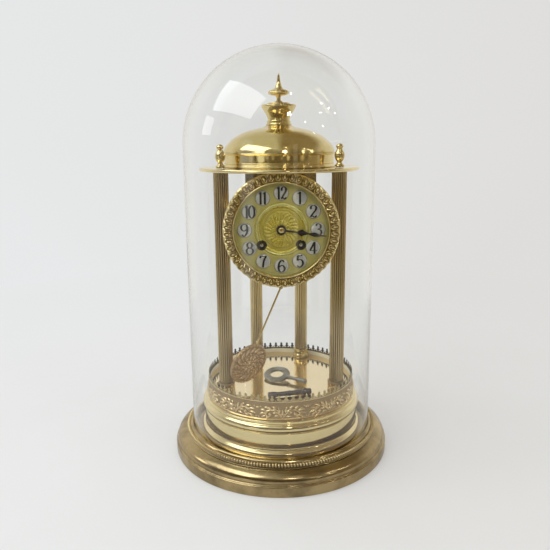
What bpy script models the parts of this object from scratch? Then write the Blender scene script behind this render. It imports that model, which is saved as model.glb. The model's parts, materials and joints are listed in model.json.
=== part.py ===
"""Four-column portico mantel clock with a drum movement, on a turned base under a glass dome.

Units are metres, +Z is up and the dial faces -Y.  The origin is the centre of the base's
underside.  Sizes below are in millimetres and pass through mm() on their way to Blender.
"""

import math

import bmesh
import bpy
from mathutils import Matrix, Vector

# Driving dimensions, in millimetres
GAP = 0.3                 # clearance between two solids that touch

BASE_R = 116.5            # foot of the base
BASE_BAND_H = 10.0        # straight band round the foot
FLOOR_Z = 23.0            # floor of the base inside the glass
LEDGE_Z = 25.3            # ledge that the glass stands on
LIP_Z = 29.3              # lip outside the glass

DOME_R = 97.0             # glass, outside
DOME_WALL = 3.0
DOME_TOP_Z = 422.0

PLINTH_R = 83.6           # polished wall of the plinth
PLINTH_TOP_Z = 62.3
PLATFORM_Z = 75.0         # top of the polished platform
PLATFORM_R = 77.4
GALLERY_R = 81.3
GALLERY_RIM_Z = 80.6
SPIKE_H = 6.6
SPIKES = 72

COLUMN_R = 7.3
REEDS = 20
FOOT_R = 9.6
FOOT_H = 10.4
FRONT_COLUMN = (57.1, -37.4)
BACK_COLUMN = (26.6, 62.6)

CORNICE_R = 82.0
CORNICE_TOP_Z = 304.2
CORNICE_SHEET = 1.2
BAND_R = 56.2
BAND_TOP_Z = 318.4

DIAL_Z = 248.5            # height of the dial's centre
DIAL_FRONT = 66.0         # dial face, measured forward of the clock's axis
DIAL_R = 46.2
BEZEL_R = 54.2
BEZEL_OPENING_R = 43.7
BEZEL_BACK = 63.3
CARTOUCHE_RING_R = 34.2
CARTOUCHE_R = 7.1
HOURS = 12
WINDING_X = 18.3
WINDING_DROP = 14.4
WINDING_HOLE_R = 4.2
MINUTE_WHEEL_X = 13.0
HAND_ANGLE = 98.2         # degrees clockwise from twelve, both hands
MINUTE_HAND_L = 42.4
HOUR_HAND_L = 26.5

DRUM_R = 45.5
DRUM_WALL = 1.2
DRUM_FRONT = 64.7
DRUM_BACK = 22.0
FRONT_PLATE = 60.0        # front face of the front plate
BACK_PLATE = 44.0         # front face of the back plate
PLATE_T = 2.0
PLATE_R = 40.0

ESCAPE_RISE = 9.0         # escape wheel and anchor, above the dial's centre
ANCHOR_RISE = 22.0
BELL_X = 15.0
BELL_RISE = 3.0
HAMMER_X = -26.0
HAMMER_DROP = 20.0

SUSPENSION_PLANE = 38.0   # forward of the clock's axis
PENDULUM_PLANE = 40.0
SUSPENSION_Z = 284.0
HOOK_Z = 187.0
PENDULUM_L = 87.5         # hook to the centre of the bob
SWING_AT_REST = 22.9      # degrees from upright
BOB_R = 22.6
BOB_TWIST = 42.0          # degrees that the bob is turned on its rod

KEY_AXIS_H = 4.7          # the key's axis over the platform
KEY_ROLL = 14.0
KEY_STEM_L = 26.0
KEY_CENTRE = (-4.0, -6.0)  # middle of the bow, on the platform
KEY_YAW = -35.0
SMALL_KEY_L = 45.0
SMALL_KEY_CENTRE = (8.0, -53.0)
SMALL_KEY_YAW = 12.0

SEGMENTS = 36


def mm(*values):
    scaled = tuple(value * 0.001 for value in values)
    return scaled[0] if len(scaled) == 1 else scaled


# Materials: colour, roughness, metallic, alpha
FINISHES = {
    "polished_brass": ((0.86, 0.67, 0.30), 0.16, 1.0, 1.0),
    "column_brass": ((0.72, 0.58, 0.32), 0.30, 1.0, 1.0),
    "chased_brass": ((0.60, 0.43, 0.22), 0.45, 1.0, 1.0),
    "gilt_dial": ((0.72, 0.63, 0.20), 0.38, 0.8, 1.0),
    "enamel": ((0.62, 0.60, 0.62), 0.25, 0.0, 1.0),
    "blued_steel": ((0.03, 0.03, 0.05), 0.30, 0.9, 1.0),
    "steel": ((0.42, 0.42, 0.44), 0.32, 1.0, 1.0),
    "bell_metal": ((0.75, 0.68, 0.45), 0.22, 1.0, 1.0),
    "glass": ((0.96, 0.98, 0.98), 0.02, 0.0, 0.2),
    "wood": ((0.20, 0.11, 0.06), 0.60, 0.0, 1.0),
}


def clear_scene():
    for obj in list(bpy.data.objects):
        bpy.data.objects.remove(obj, do_unlink=True)


def collection(name):
    made = bpy.data.collections.new(name)
    bpy.context.scene.collection.children.link(made)
    return made


def material_for(name, finish):
    colour, roughness, metallic, alpha = FINISHES[finish]
    made = bpy.data.materials.new(name)
    made.use_nodes = True
    shader = made.node_tree.nodes["Principled BSDF"]
    shader.inputs["Base Color"].default_value = (*colour, 1.0)
    shader.inputs["Roughness"].default_value = roughness
    shader.inputs["Metallic"].default_value = metallic
    shader.inputs["Alpha"].default_value = alpha
    return made


def place(obj, finish=None, location=(0, 0, 0), rotation=(0, 0, 0), parent=None):
    """Give an object its collection, its own material and its place (location in mm)."""
    for owner in list(obj.users_collection):
        owner.objects.unlink(obj)
    if finish is None:
        CUTTERS.objects.link(obj)
        obj.hide_render = True
        obj.display_type = "WIRE"
    else:
        PARTS.objects.link(obj)
        obj.data.materials.clear()
        obj.data.materials.append(material_for(obj.name, finish))
    obj.location = mm(*location)
    obj.rotation_euler = [math.radians(angle) for angle in rotation]
    obj.parent = parent
    return obj


def mesh_object(name, bm):
    """An object from a bmesh built in millimetres."""
    bmesh.ops.transform(bm, matrix=Matrix.Scale(0.001, 4), verts=bm.verts)
    bmesh.ops.recalc_face_normals(bm, faces=bm.faces)
    mesh = bpy.data.meshes.new(name)
    bm.to_mesh(mesh)
    bm.free()
    mesh.shade_smooth()
    mesh.set_sharp_from_angle(angle=math.radians(32))
    return bpy.data.objects.new(name, mesh)


def turned(name, profile, closed=False, segments=SEGMENTS):
    """A lathe-turned solid.  profile holds (radius, height) points, down the outer side.

    A closed profile is the cross-section of a ring.  An open one starts and ends on the axis.
    """
    points = [(mm(radius), 0.0, mm(height)) for radius, height in profile]
    edges = [(index, index + 1) for index in range(len(points) - 1)]
    if closed:
        edges.append((len(points) - 1, 0))
    mesh = bpy.data.meshes.new(name)
    mesh.from_pydata(points, edges, [])
    obj = bpy.data.objects.new(name, mesh)
    screw = obj.modifiers.new("turn", "SCREW")
    screw.axis = "Z"
    screw.angle = math.tau
    screw.steps = segments
    screw.render_steps = segments
    screw.use_merge_vertices = True
    screw.merge_threshold = 0.00001
    screw.use_smooth_shade = True
    return obj


def disc(name, radius, low, high, segments=SEGMENTS):
    """A flat disc or rod from height low to height high."""
    bm = bmesh.new()
    bmesh.ops.create_cone(bm, cap_ends=True, segments=segments, radius1=radius, radius2=radius,
                          depth=high - low, matrix=Matrix.Translation((0, 0, (low + high) / 2)))
    return mesh_object(name, bm)


def block(name, low, high):
    """A box between two corners."""
    low, high = Vector(low), Vector(high)
    size = high - low
    bm = bmesh.new()
    bmesh.ops.create_cube(bm, size=1.0, matrix=Matrix.LocRotScale((low + high) / 2, None, size))
    return mesh_object(name, bm)


def flat_shape(name, outline, low, high, holes=()):
    """A plate cut to an outline, as a mesh, from height low to height high."""
    curve = bpy.data.curves.new(name, "CURVE")
    curve.dimensions = "2D"
    curve.fill_mode = "BOTH"
    curve.extrude = mm(high - low) / 2
    for loop in (outline, *holes):
        spline = curve.splines.new("POLY")
        spline.points.add(len(loop) - 1)
        for point, (x, y) in zip(spline.points, loop):
            point.co = (mm(x), mm(y), 0.0, 1.0)
        spline.use_cyclic_u = True
    source = bpy.data.objects.new(name + "_outline", curve)
    bpy.context.scene.collection.objects.link(source)
    evaluated = source.evaluated_get(bpy.context.evaluated_depsgraph_get())
    mesh = bpy.data.meshes.new_from_object(evaluated)
    bpy.data.objects.remove(source)
    bm = bmesh.new()
    bm.from_mesh(mesh)
    bmesh.ops.remove_doubles(bm, verts=bm.verts, dist=0.000002)
    bmesh.ops.translate(bm, vec=(0, 0, mm(low + high) / 2), verts=bm.verts)
    bm.to_mesh(mesh)
    bm.free()
    mesh.name = name
    return bpy.data.objects.new(name, mesh)


def combine(obj, other, operation):
    """Cut other from obj, or join it to obj; other becomes a hidden guide."""
    step = obj.modifiers.new(operation.lower(), "BOOLEAN")
    step.operation = operation
    step.object = other


def arc(radius, start, end, count, centre=(0.0, 0.0)):
    """Points on an arc, angles in degrees."""
    step = (end - start) / (count - 1)
    angles = [math.radians(start + step * index) for index in range(count)]
    return [(centre[0] + radius * math.cos(a), centre[1] + radius * math.sin(a)) for a in angles]


def facing_front(x=0.0, z=DIAL_Z):
    """Placement that turns local +Z to the front (-Y) and local +Y up, at dial height."""
    return {"location": (x, 0, z), "rotation": (90, 0, 0)}


# Base and glass


def make_base():
    place(disc("base_board", 98.0, 1.0, FLOOR_Z - 2.0 - GAP), "wood")
    cyma = arc(5.6, 8, 68, 4, (108.8, 15.2))
    profile = [
        (60.0, FLOOR_Z), (93.4, FLOOR_Z), (93.6, LEDGE_Z), (DOME_R + 0.4, LEDGE_Z),
        (DOME_R + 0.6, LIP_Z), (99.6, LIP_Z), (100.8, 27.2), (103.4, 23.6), (103.8, 21.4),
        (106.4, 21.2), *reversed(cyma), (115.2, 12.6), (115.4, 11.0), (BASE_R, BASE_BAND_H),
        (BASE_R, 0.0), (112.6, 0.0), (112.0, 9.0), (101.4, 18.8), (98.6, FLOOR_Z - 2.0), (60.0, FLOOR_Z - 2.0),
    ]
    place(turned("base_shell", profile, closed=True), "polished_brass")


def make_glass_dome():
    centre_z = DOME_TOP_Z - DOME_R
    inner_r = DOME_R - DOME_WALL
    foot_z = LEDGE_Z + GAP
    outside = [(r, z + centre_z) for r, z in arc(DOME_R, 90, 0, 7)]
    inside = [(r, z + centre_z) for r, z in arc(inner_r, 0, 90, 7)]
    outside[0] = (0.0, DOME_TOP_Z)
    inside[-1] = (0.0, DOME_TOP_Z - DOME_WALL)
    profile = [*outside, (DOME_R, 175.0), (DOME_R, foot_z), (inner_r, foot_z), (inner_r, 175.0), *inside]
    place(turned("glass_dome", profile), "glass")


def make_plinth():
    foot_z = FLOOR_Z + GAP
    profile = [
        (PLATFORM_R, PLATFORM_Z - 2.0 - GAP), (PLATFORM_R, PLINTH_TOP_Z), (82.0, PLINTH_TOP_Z),
        (82.8, 58.8), *arc(4.9, 60, -60, 4, (80.8, 53.4)), (PLINTH_R, 47.4), (PLINTH_R, 35.6),
        (84.4, 31.4), (86.6, 29.8), (87.2, 26.8), (86.6, foot_z), (81.6, foot_z),
        (81.6, 48.0), (74.0, 60.0), (74.0, PLATFORM_Z - 2.0 - GAP),
    ]
    place(turned("plinth", profile, closed=True), "polished_brass")
    place(disc("platform", PLATFORM_R, PLATFORM_Z - 2.0, PLATFORM_Z), "polished_brass")


def make_gallery():
    """Ring with a crown of points: a spun cross-section whose top is lifted at every other step."""
    inner_r = PLATFORM_R + 0.5
    section = [(inner_r, PLINTH_TOP_Z + GAP), (GALLERY_R, PLINTH_TOP_Z + GAP), (GALLERY_R - 0.3, 68.0),
               (78.9, GALLERY_RIM_Z), (inner_r, GALLERY_RIM_Z)]
    bm = bmesh.new()
    corners = [bm.verts.new((radius, 0.0, height)) for radius, height in section]
    for index, corner in enumerate(corners):
        bm.edges.new((corner, corners[index - 1]))
    steps = 2 * SPIKES
    bmesh.ops.spin(bm, geom=bm.verts[:] + bm.edges[:], axis=(0, 0, 1), cent=(0, 0, 0),
                   angle=math.tau, steps=steps, use_merge=True)
    for vert in bm.verts:
        if vert.co.z < GALLERY_RIM_Z - 0.1:
            continue
        step = round(math.atan2(vert.co.y, vert.co.x) / math.tau * steps)
        vert.co.z += SPIKE_H if step % 2 else 0.0
    place(mesh_object("gallery", bm), "chased_brass")


# Columns and canopy


def column_places():
    for row, (x, y) in (("front", FRONT_COLUMN), ("back", BACK_COLUMN)):
        yield row + "_left", -x, y
        yield row + "_right", x, y


def reeded_shaft(name, low, high):
    """A shaft whose outline alternates between two radii."""
    bm = bmesh.new()
    bmesh.ops.create_cone(bm, cap_ends=True, segments=2 * REEDS, radius1=COLUMN_R, radius2=COLUMN_R,
                          depth=high - low, matrix=Matrix.Translation((0, 0, (low + high) / 2)))
    for vert in bm.verts:
        step = round(math.atan2(vert.co.y, vert.co.x) / math.tau * 2 * REEDS)
        depth = 0.9 if step % 2 else 0.0
        vert.co.xy *= (COLUMN_R - depth) / COLUMN_R
    return mesh_object(name, bm)


def make_columns():
    foot_z = PLATFORM_Z + GAP
    foot_top = foot_z + FOOT_H
    foot = [(0.0, foot_top), (7.6, foot_top), (8.4, foot_top - 1.4), (7.9, foot_top - 3.0),
            (8.4, foot_z + 4.0), (FOOT_R, foot_z + 2.0), (FOOT_R, foot_z), (0.0, foot_z)]
    urn_z = CORNICE_TOP_Z + GAP
    urn_levels = ((0.0, 22.4), (1.7, 22.0), (3.4, 20.0), (3.3, 19.0), (2.2, 17.6), (3.4, 15.6),
                  (4.9, 12.2), (4.5, 8.8), (2.4, 5.2), (2.6, 4.0), (3.9, 2.8), (4.6, 0.0), (0.0, 0.0))
    urn = [(radius, urn_z + height) for radius, height in urn_levels]
    shaft_top = CORNICE_TOP_Z - CORNICE_SHEET - GAP
    for label, x, y in column_places():
        spot = {"location": (x, y, 0)}
        place(turned("column_foot_" + label, foot, segments=12), "chased_brass", **spot)
        place(reeded_shaft("column_shaft_" + label, foot_top + GAP, shaft_top), "column_brass", **spot)
        place(turned("urn_finial_" + label, urn, segments=10), "polished_brass", **spot)


def make_cornice():
    sheet_z = CORNICE_TOP_Z - CORNICE_SHEET
    rim = arc(1.7, 75, -75, 5, (CORNICE_R - 1.7, CORNICE_TOP_Z - 1.7))
    profile = [(0.0, CORNICE_TOP_Z), (78.4, CORNICE_TOP_Z), *rim, (78.9, sheet_z - 1.4), (78.4, sheet_z),
               (0.0, sheet_z)]
    place(turned("cornice_plate", profile), "polished_brass")


def make_canopy():
    foot_z = CORNICE_TOP_Z + GAP
    band = [(BAND_R - 1.6, BAND_TOP_Z), (57.8, BAND_TOP_Z), (57.8, BAND_TOP_Z - 1.6),
            (BAND_R, BAND_TOP_Z - 2.6), (BAND_R, foot_z + 2.6), (57.2, foot_z + 1.6), (57.2, foot_z),
            (BAND_R - 1.6, foot_z)]
    place(turned("canopy_band", band, closed=True), "polished_brass")
    levels = ((13.6, 344.6), (21.2, 342.4), (29.8, 340.3), (37.5, 337.8),
              (45.5, 333.8), (53.2, 327.0), (56.2, 322.0), (57.0, BAND_TOP_Z + GAP))
    wall = 1.6
    inside = [(radius - wall, height - wall * (1 - index / len(levels)))
              for index, (radius, height) in enumerate(levels)]
    inside[-1] = (levels[-1][0] - wall, BAND_TOP_Z + GAP)
    place(turned("canopy_dome", [*levels, *reversed(inside)], closed=True), "polished_brass")
    vase = [(0.0, 366.7), (11.4, 366.7), (11.6, 365.4), (17.4, 364.9), (17.5, 363.2), (16.4, 361.4),
            (14.4, 358.4), (12.5, 355.0), (11.1, 351.2), (11.9, 349.4), (12.0, 347.0), (12.9, 346.0),
            (13.0, 344.9), (0.0, 344.9)]
    place(turned("canopy_vase", vase, segments=24), "polished_brass")
    tip_z = 395.0
    spire = [(0.0, tip_z), (0.7, 394.4), (1.6, 389.7), (2.6, 385.0), (3.8, 381.0), (6.7, 379.4),
             (10.7, 377.2), (10.4, 375.9), (8.0, 374.2), (3.2, 373.2), (2.3, 371.4), (2.5, 368.6),
             (4.2, 367.8), (4.2, 366.7 + GAP), (0.0, 366.7 + GAP)]
    place(turned("spire_finial", spire, segments=16), "polished_brass")


# Dial, bezel and hands: local +Z is forward, measured from the clock's axis


def make_dial():
    back = DIAL_FRONT - 1.0
    dial = place(disc("dial_plate", DIAL_R, back, DIAL_FRONT), "gilt_dial", **facing_front())
    holes = [("winding_hole_left", -WINDING_X, -WINDING_DROP, WINDING_HOLE_R),
             ("winding_hole_right", WINDING_X, -WINDING_DROP, WINDING_HOLE_R),
             ("centre_hole", 0.0, 0.0, 3.6)]
    for name, x, y, radius in holes:
        cutter = disc(name, radius, back - 1, DIAL_FRONT + 1, segments=24)
        place(cutter, **facing_front(x=x, z=DIAL_Z + y))
        combine(dial, cutter, "DIFFERENCE")
    front = DIAL_FRONT + GAP
    rosette = [(3.7, front + 0.9), (8.0, front + 1.3), (16.4, front + 0.7), (17.4, front), (3.7, front)]
    place(turned("dial_rosette", rosette, closed=True, segments=24), "gilt_dial", **facing_front())
    cell = [(0.0, front + 1.2), (CARTOUCHE_R - 1.0, front + 1.0), (CARTOUCHE_R, front + 0.3),
            (CARTOUCHE_R, front), (0.0, front)]
    for hour in range(1, HOURS + 1):
        angle = math.tau * hour / HOURS
        spot = facing_front(x=CARTOUCHE_RING_R * math.sin(angle), z=DIAL_Z + CARTOUCHE_RING_R * math.cos(angle))
        place(turned(f"hour_cartouche_{hour:02d}", cell, segments=12), "enamel", **spot)


def make_bezel():
    """The bezel and its glass turn together on a hinge at the dial's left."""
    hinge_x, hinge_y = -BEZEL_R - 0.9, -64.0
    hinge = bpy.data.objects.new("bezel_hinge_axis", None)
    PARTS.objects.link(hinge)
    hinge.location = mm(hinge_x, hinge_y, DIAL_Z)
    crown = arc(3.5, 150, 20, 5, (49.6, 71.0))
    profile = [(BEZEL_OPENING_R, 73.4), (44.4, 74.0), (45.6, 73.2), *crown, (53.2, 68.6), (BEZEL_R, 67.8),
               (BEZEL_R, BEZEL_BACK), (46.9, BEZEL_BACK), (46.9, 71.0), (BEZEL_OPENING_R, 71.0)]
    offset = {"location": (-hinge_x, -hinge_y, 0), "rotation": (90, 0, 0), "parent": hinge}
    place(turned("front_bezel", profile, closed=True), "chased_brass", **offset)
    place(disc("bezel_glass", 46.4, 69.3, 70.7), "glass", **offset)


def spade_hand(length, half_width, belly, boss_r):
    """Outline of a hand that points along +Y, with a leaf-shaped belly."""
    side = [(half_width, boss_r + 1.0), (half_width * 0.8, length * belly - 3.6),
            (half_width * 2.4, length * belly), (half_width * 0.8, length * belly + 3.6),
            (half_width * 0.35, length)]
    boss = arc(boss_r, 105, 435, 14)
    return [*boss, *side, *[(-x, y) for x, y in reversed(side)]]


def make_hands():
    turn = -HAND_ANGLE
    hands = (("hour_hand", HOUR_HAND_L, 1.15, 0.78, 3.6, 67.8, 68.2, 2.3),
             ("minute_hand", MINUTE_HAND_L, 0.9, 0.48, 3.2, 68.5, 68.8, 1.3))
    for name, length, half_width, belly, boss_r, low, high, bore in hands:
        outline = spade_hand(length, half_width, belly, boss_r)
        hole = arc(bore, 0, 345, 18)
        axis = bpy.data.objects.new(name + "_axis", None)
        PARTS.objects.link(axis)
        spot = facing_front()
        axis.location = mm(*spot["location"])
        axis.rotation_euler = (math.radians(90), 0, 0)
        place(flat_shape(name, outline, low, high, [hole]), "blued_steel", rotation=(0, 0, turn), parent=axis)
    arbor = [(0.0, 68.9), (1.0, 68.9), (1.0, 62.0), (8.5, 62.0), (8.5, 61.3), (1.0, 61.3), (1.0, 45.9),
             (0.0, 45.9)]
    place(turned("centre_arbor", arbor, segments=12), "steel", **facing_front())
    pipe = [(1.4, 68.2), (2.0, 68.2), (2.0, 64.0), (7.0, 64.0), (7.0, 63.2), (1.4, 63.2)]
    place(turned("hour_wheel", pipe, closed=True, segments=16), "polished_brass", **facing_front())
    wheel = [(0.0, 64.4), (0.8, 64.4), (0.8, 64.0), (5.4, 64.0), (5.4, 63.2), (0.8, 63.2), (0.8, 60.3),
             (0.0, 60.3)]
    place(turned("minute_wheel", wheel, segments=12), "polished_brass", **facing_front(x=MINUTE_WHEEL_X))


# Movement inside the drum


def make_drum():
    profile = [(DRUM_R - DRUM_WALL, DRUM_FRONT), (DRUM_R, DRUM_FRONT), (DRUM_R, DRUM_BACK),
               (DRUM_R - DRUM_WALL, DRUM_BACK)]
    drum = place(turned("drum_case", profile, closed=True), "polished_brass", **facing_front())
    slot = block("pendulum_slot", (-7.5, -SUSPENSION_PLANE - 5, DIAL_Z - DRUM_R - 3),
                 (7.5, -SUSPENSION_PLANE + 5, DIAL_Z - DRUM_R + 6))
    place(slot)
    combine(drum, slot, "DIFFERENCE")
    hanger = block("drum_hanger", (-33, -57, DIAL_Z + 27), (33, -29, CORNICE_TOP_Z - CORNICE_SHEET - GAP))
    place(hanger, "polished_brass")
    saddle = disc("hanger_saddle", DRUM_R + GAP, 20, 66, segments=96)
    place(saddle, **facing_front())
    combine(hanger, saddle, "DIFFERENCE")
    cover = bpy.data.objects.new("back_cover_axis", None)
    PARTS.objects.link(cover)
    hinge_x = -DRUM_R - 1.0
    cover.location = mm(hinge_x, -DRUM_BACK + GAP, DIAL_Z)
    lid = [(0.0, DRUM_BACK - GAP), (DRUM_R, DRUM_BACK - GAP), (DRUM_R, 20.4), (DRUM_R - 3, 19.6), (0.0, 19.0)]
    place(turned("back_cover", lid), "polished_brass", location=(-hinge_x, DRUM_BACK - GAP, 0),
          rotation=(90, 0, 0), parent=cover)


def pierced_plate(name, front, holes):
    """A round movement plate with its pivot holes, given as (x, height over the centre, radius)."""
    plate = place(disc(name, PLATE_R, front - PLATE_T, front, segments=36), "polished_brass", **facing_front())
    for index, (x, y, radius) in enumerate(holes):
        cutter = disc(f"{name}_pivot_{index}", radius, front - PLATE_T - 1, front + 1, segments=16)
        place(cutter, **facing_front(x=x, z=DIAL_Z + y))
        combine(plate, cutter, "DIFFERENCE")
    return plate


def make_plates():
    """The back plate carries the pillars, the suspension cock and the bell's post."""
    winding = [(side * WINDING_X, -WINDING_DROP, 2.6) for side in (-1, 1)]
    pierced_plate("front_plate", FRONT_PLATE, [(0.0, 0.0, 1.3), *winding])
    back = pierced_plate("back_plate", BACK_PLATE, [(0.0, ANCHOR_RISE, 1.5)])
    low, high = BACK_PLATE - 0.5, FRONT_PLATE - PLATE_T - GAP
    waist = [(0.0, high), (2.6, high), (2.6, high - 2), (1.7, high - 3), (1.7, low + 3), (2.6, low + 2),
             (2.6, low), (0.0, low)]
    for index, angle in enumerate((30, 150, 270), start=1):
        x = 36.0 * math.cos(math.radians(angle))
        y = 36.0 * math.sin(math.radians(angle))
        pillar = place(turned(f"pillar_{index}", waist, segments=8), **facing_front(x=x, z=DIAL_Z + y))
        combine(back, pillar, "UNION")
    rear = -(BACK_PLATE - PLATE_T)
    cock = place(block("suspension_cock", (-5.0, rear - 0.5, SUSPENSION_Z + GAP),
                       (5.0, -SUSPENSION_PLANE + 3.0, SUSPENSION_Z + 3.6)))
    combine(back, cock, "UNION")
    post = [(0.0, -rear + 0.5), (2.4, -rear + 0.5), (2.4, 27.0), (1.1, 26.9), (1.1, 24.4), (0.0, 24.4)]
    stand = place(turned("bell_post", post, segments=12), **facing_front(x=BELL_X, z=DIAL_Z + BELL_RISE))
    combine(back, stand, "UNION")


def make_train():
    barrel = [(0.0, 65.4), (1.5, 65.4), (1.5, 62.0), (2.2, 62.0), (2.2, 57.4), (12.6, 57.4), (13.4, 56.6),
              (13.4, 49.4), (12.6, 48.6), (2.2, 48.6), (2.2, 46.2), (0.0, 46.2)]
    for name, side in (("going_barrel", 1), ("strike_barrel", -1)):
        place(turned(name, barrel, segments=16), "polished_brass",
              **facing_front(x=side * WINDING_X, z=DIAL_Z - WINDING_DROP))
    bm = bmesh.new()
    teeth = 15
    bmesh.ops.create_cone(bm, cap_ends=True, segments=2 * teeth, radius1=8.0, radius2=8.0, depth=1.0,
                          matrix=Matrix.Translation((0, 0, 47.5)))
    for vert in bm.verts:
        step = round(math.atan2(vert.co.y, vert.co.x) / math.tau * 2 * teeth)
        vert.co.xy *= 0.8 if step % 2 else 1.0
    spot = facing_front(z=DIAL_Z + ESCAPE_RISE)
    wheel = place(mesh_object("escape_wheel", bm), "polished_brass", **spot)
    combine(wheel, place(disc("escape_arbor", 0.8, 45.2, 57.6, segments=12), **spot), "UNION")


def make_anchor():
    """Pallets on an arbor that passes through the back plate to the crutch."""
    half = [(1.8, -2.0), (5.8, -2.8), (6.8, -6.4), (8.8, -7.0), (8.2, -0.8), (3.0, 2.4)]
    pallets = [*half, *[(-x, y) for x, y in reversed(half)]]
    spot = facing_front(z=DIAL_Z + ANCHOR_RISE)
    anchor = place(flat_shape("pallet_anchor", pallets, 46.7, 48.3), "steel", **spot)
    combine(anchor, place(disc("anchor_arbor", 1.0, 39.6, 48.0, segments=12), **spot), "UNION")
    top = DIAL_Z + ANCHOR_RISE
    link = block("crutch_link", (-0.5, -40.9, top - 0.6), (3.2, -39.9, top + 0.6))
    combine(anchor, place(link), "UNION")
    wire = block("crutch_wire", (2.3, -41.0, top - 30.0), (3.3, -39.8, top + 0.7))
    combine(anchor, place(wire), "UNION")


def make_strike():
    """A bell over the back plate, and its hammer on an arbor of its own."""
    bell = [(1.4, 26.4), (9.0, 26.6), (16.2, 28.8), (20.4, 32.2), (22.0, 34.4), (23.4, 34.4), (21.6, 31.4),
            (17.0, 27.6), (9.0, 25.4), (1.4, 25.2)]
    place(turned("bell", bell, closed=True, segments=24), "bell_metal",
          **facing_front(x=BELL_X, z=DIAL_Z + BELL_RISE))
    head_x, head_y = BELL_X - 27.4, BELL_RISE
    run = Vector((head_x - HAMMER_X, head_y + HAMMER_DROP))
    reach = run.length
    tilt = math.degrees(math.atan2(run.y, run.x))
    boss = arc(2.4, 30, 330, 10)
    head = arc(3.2, -160, 160, 12, (reach, 0.0))
    spot = facing_front(x=HAMMER_X, z=DIAL_Z - HAMMER_DROP)
    spot["rotation"] = (90, -tilt, 0)
    hammer = place(flat_shape("bell_hammer", [*head, *boss], 31.8, 34.2), "steel", **spot)
    combine(hammer, place(disc("hammer_arbor", 1.2, 33.0, BACK_PLATE - PLATE_T - GAP, segments=12), **spot), "UNION")


def make_pendulum():
    """The suspension rod ends in a pin, and the pendulum hangs on that pin by an eye."""
    plane = -SUSPENSION_PLANE
    strip = place(block("suspension_rod", (-0.9, plane - 0.4, HOOK_Z - 1.4), (0.9, plane + 0.4, SUSPENSION_Z)),
                  "steel")
    pin = disc("hook_pin", 0.8, SUSPENSION_PLANE - 0.2, PENDULUM_PLANE + 1.6, segments=16)
    combine(strip, place(pin, **facing_front(z=HOOK_Z)), "UNION")
    pivot = bpy.data.objects.new("pendulum_axis", None)
    PARTS.objects.link(pivot)
    pivot.location = mm(0.0, -PENDULUM_PLANE, HOOK_Z)
    pivot.rotation_euler = (0, math.radians(SWING_AT_REST), 0)
    rod_low = -PENDULUM_L + BOB_R + 0.6
    rod = place(disc("pendulum_rod", 1.0, rod_low, -1.7, segments=12), "polished_brass", parent=pivot)
    eye = flat_shape("pendulum_eye", arc(2.4, 0, 345, 20), -0.7, 0.7, [arc(1.1, 0, 340, 18)])
    combine(rod, place(eye, rotation=(90, 0, 0), parent=pivot), "UNION")
    face = [(0.0, 3.0), (6.0, 3.2), (9.0, 2.2), (18.0, 2.6), (21.6, 1.6), (BOB_R, 0.4), (BOB_R, -0.4),
            (20.0, -1.6), (0.0, -2.0)]
    place(turned("pendulum_bob", face, segments=24), "chased_brass",
          location=(0, 0, -PENDULUM_L), rotation=(90, 0, BOB_TWIST), parent=pivot)


def make_keys():
    """Two loose steel keys on the platform: one with a pierced bow, one double-ended."""
    outer = [(x * 1.1, y) for x, y in arc(13.4, 0, 345, 24)]
    hole = [(x * 1.15, y) for x, y in arc(8.0, 0, 342, 20)]
    pose = {"location": (*KEY_CENTRE, PLATFORM_Z + KEY_AXIS_H), "rotation": (KEY_ROLL, 0, KEY_YAW)}
    key = place(flat_shape("winding_key", outer, -1.2, 1.2, [hole]), "steel", **pose)
    stem = disc("key_stem", 2.4, 0.0, KEY_STEM_L, segments=16)
    stem_turn = Matrix.Rotation(math.radians(90), 4, "Y")
    stem.data.transform(Matrix.Translation(mm(11.6, 0, 0)) @ stem_turn)
    combine(key, place(stem, **pose), "UNION")
    half = SMALL_KEY_L / 2
    bar = [(0.0, half), (2.9, half), (3.1, half - 7.0), (2.3, half - 9.0), (2.0, 0.0), (2.3, 9.0 - half),
           (3.1, 7.0 - half), (2.9, -half), (0.0, -half)]
    place(turned("double_ended_key", bar, segments=12), "steel",
          location=(*SMALL_KEY_CENTRE, PLATFORM_Z + GAP + 3.1), rotation=(0, 90, SMALL_KEY_YAW))


clear_scene()
PARTS = collection("portico_clock")
CUTTERS = collection("cutters")
make_base()
make_glass_dome()
make_plinth()
make_gallery()
make_columns()
make_cornice()
make_canopy()
make_dial()
make_bezel()
make_hands()
make_drum()
make_plates()
make_train()
make_anchor()
make_strike()
make_pendulum()
make_keys()
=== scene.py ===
"""Finished looks of the domed portico clock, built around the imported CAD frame.

Lengths are in millimetres until mm() or MM turns them into metres.  Round pieces are spun from
(radius, height) profiles that run down the outer side.  Pieces of the dial use a frame whose
+Z points forward, measured from the clock's axis.
"""

import json
import math

import bmesh
import bpy
import numpy as np
from mathutils import Matrix, Vector


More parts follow.
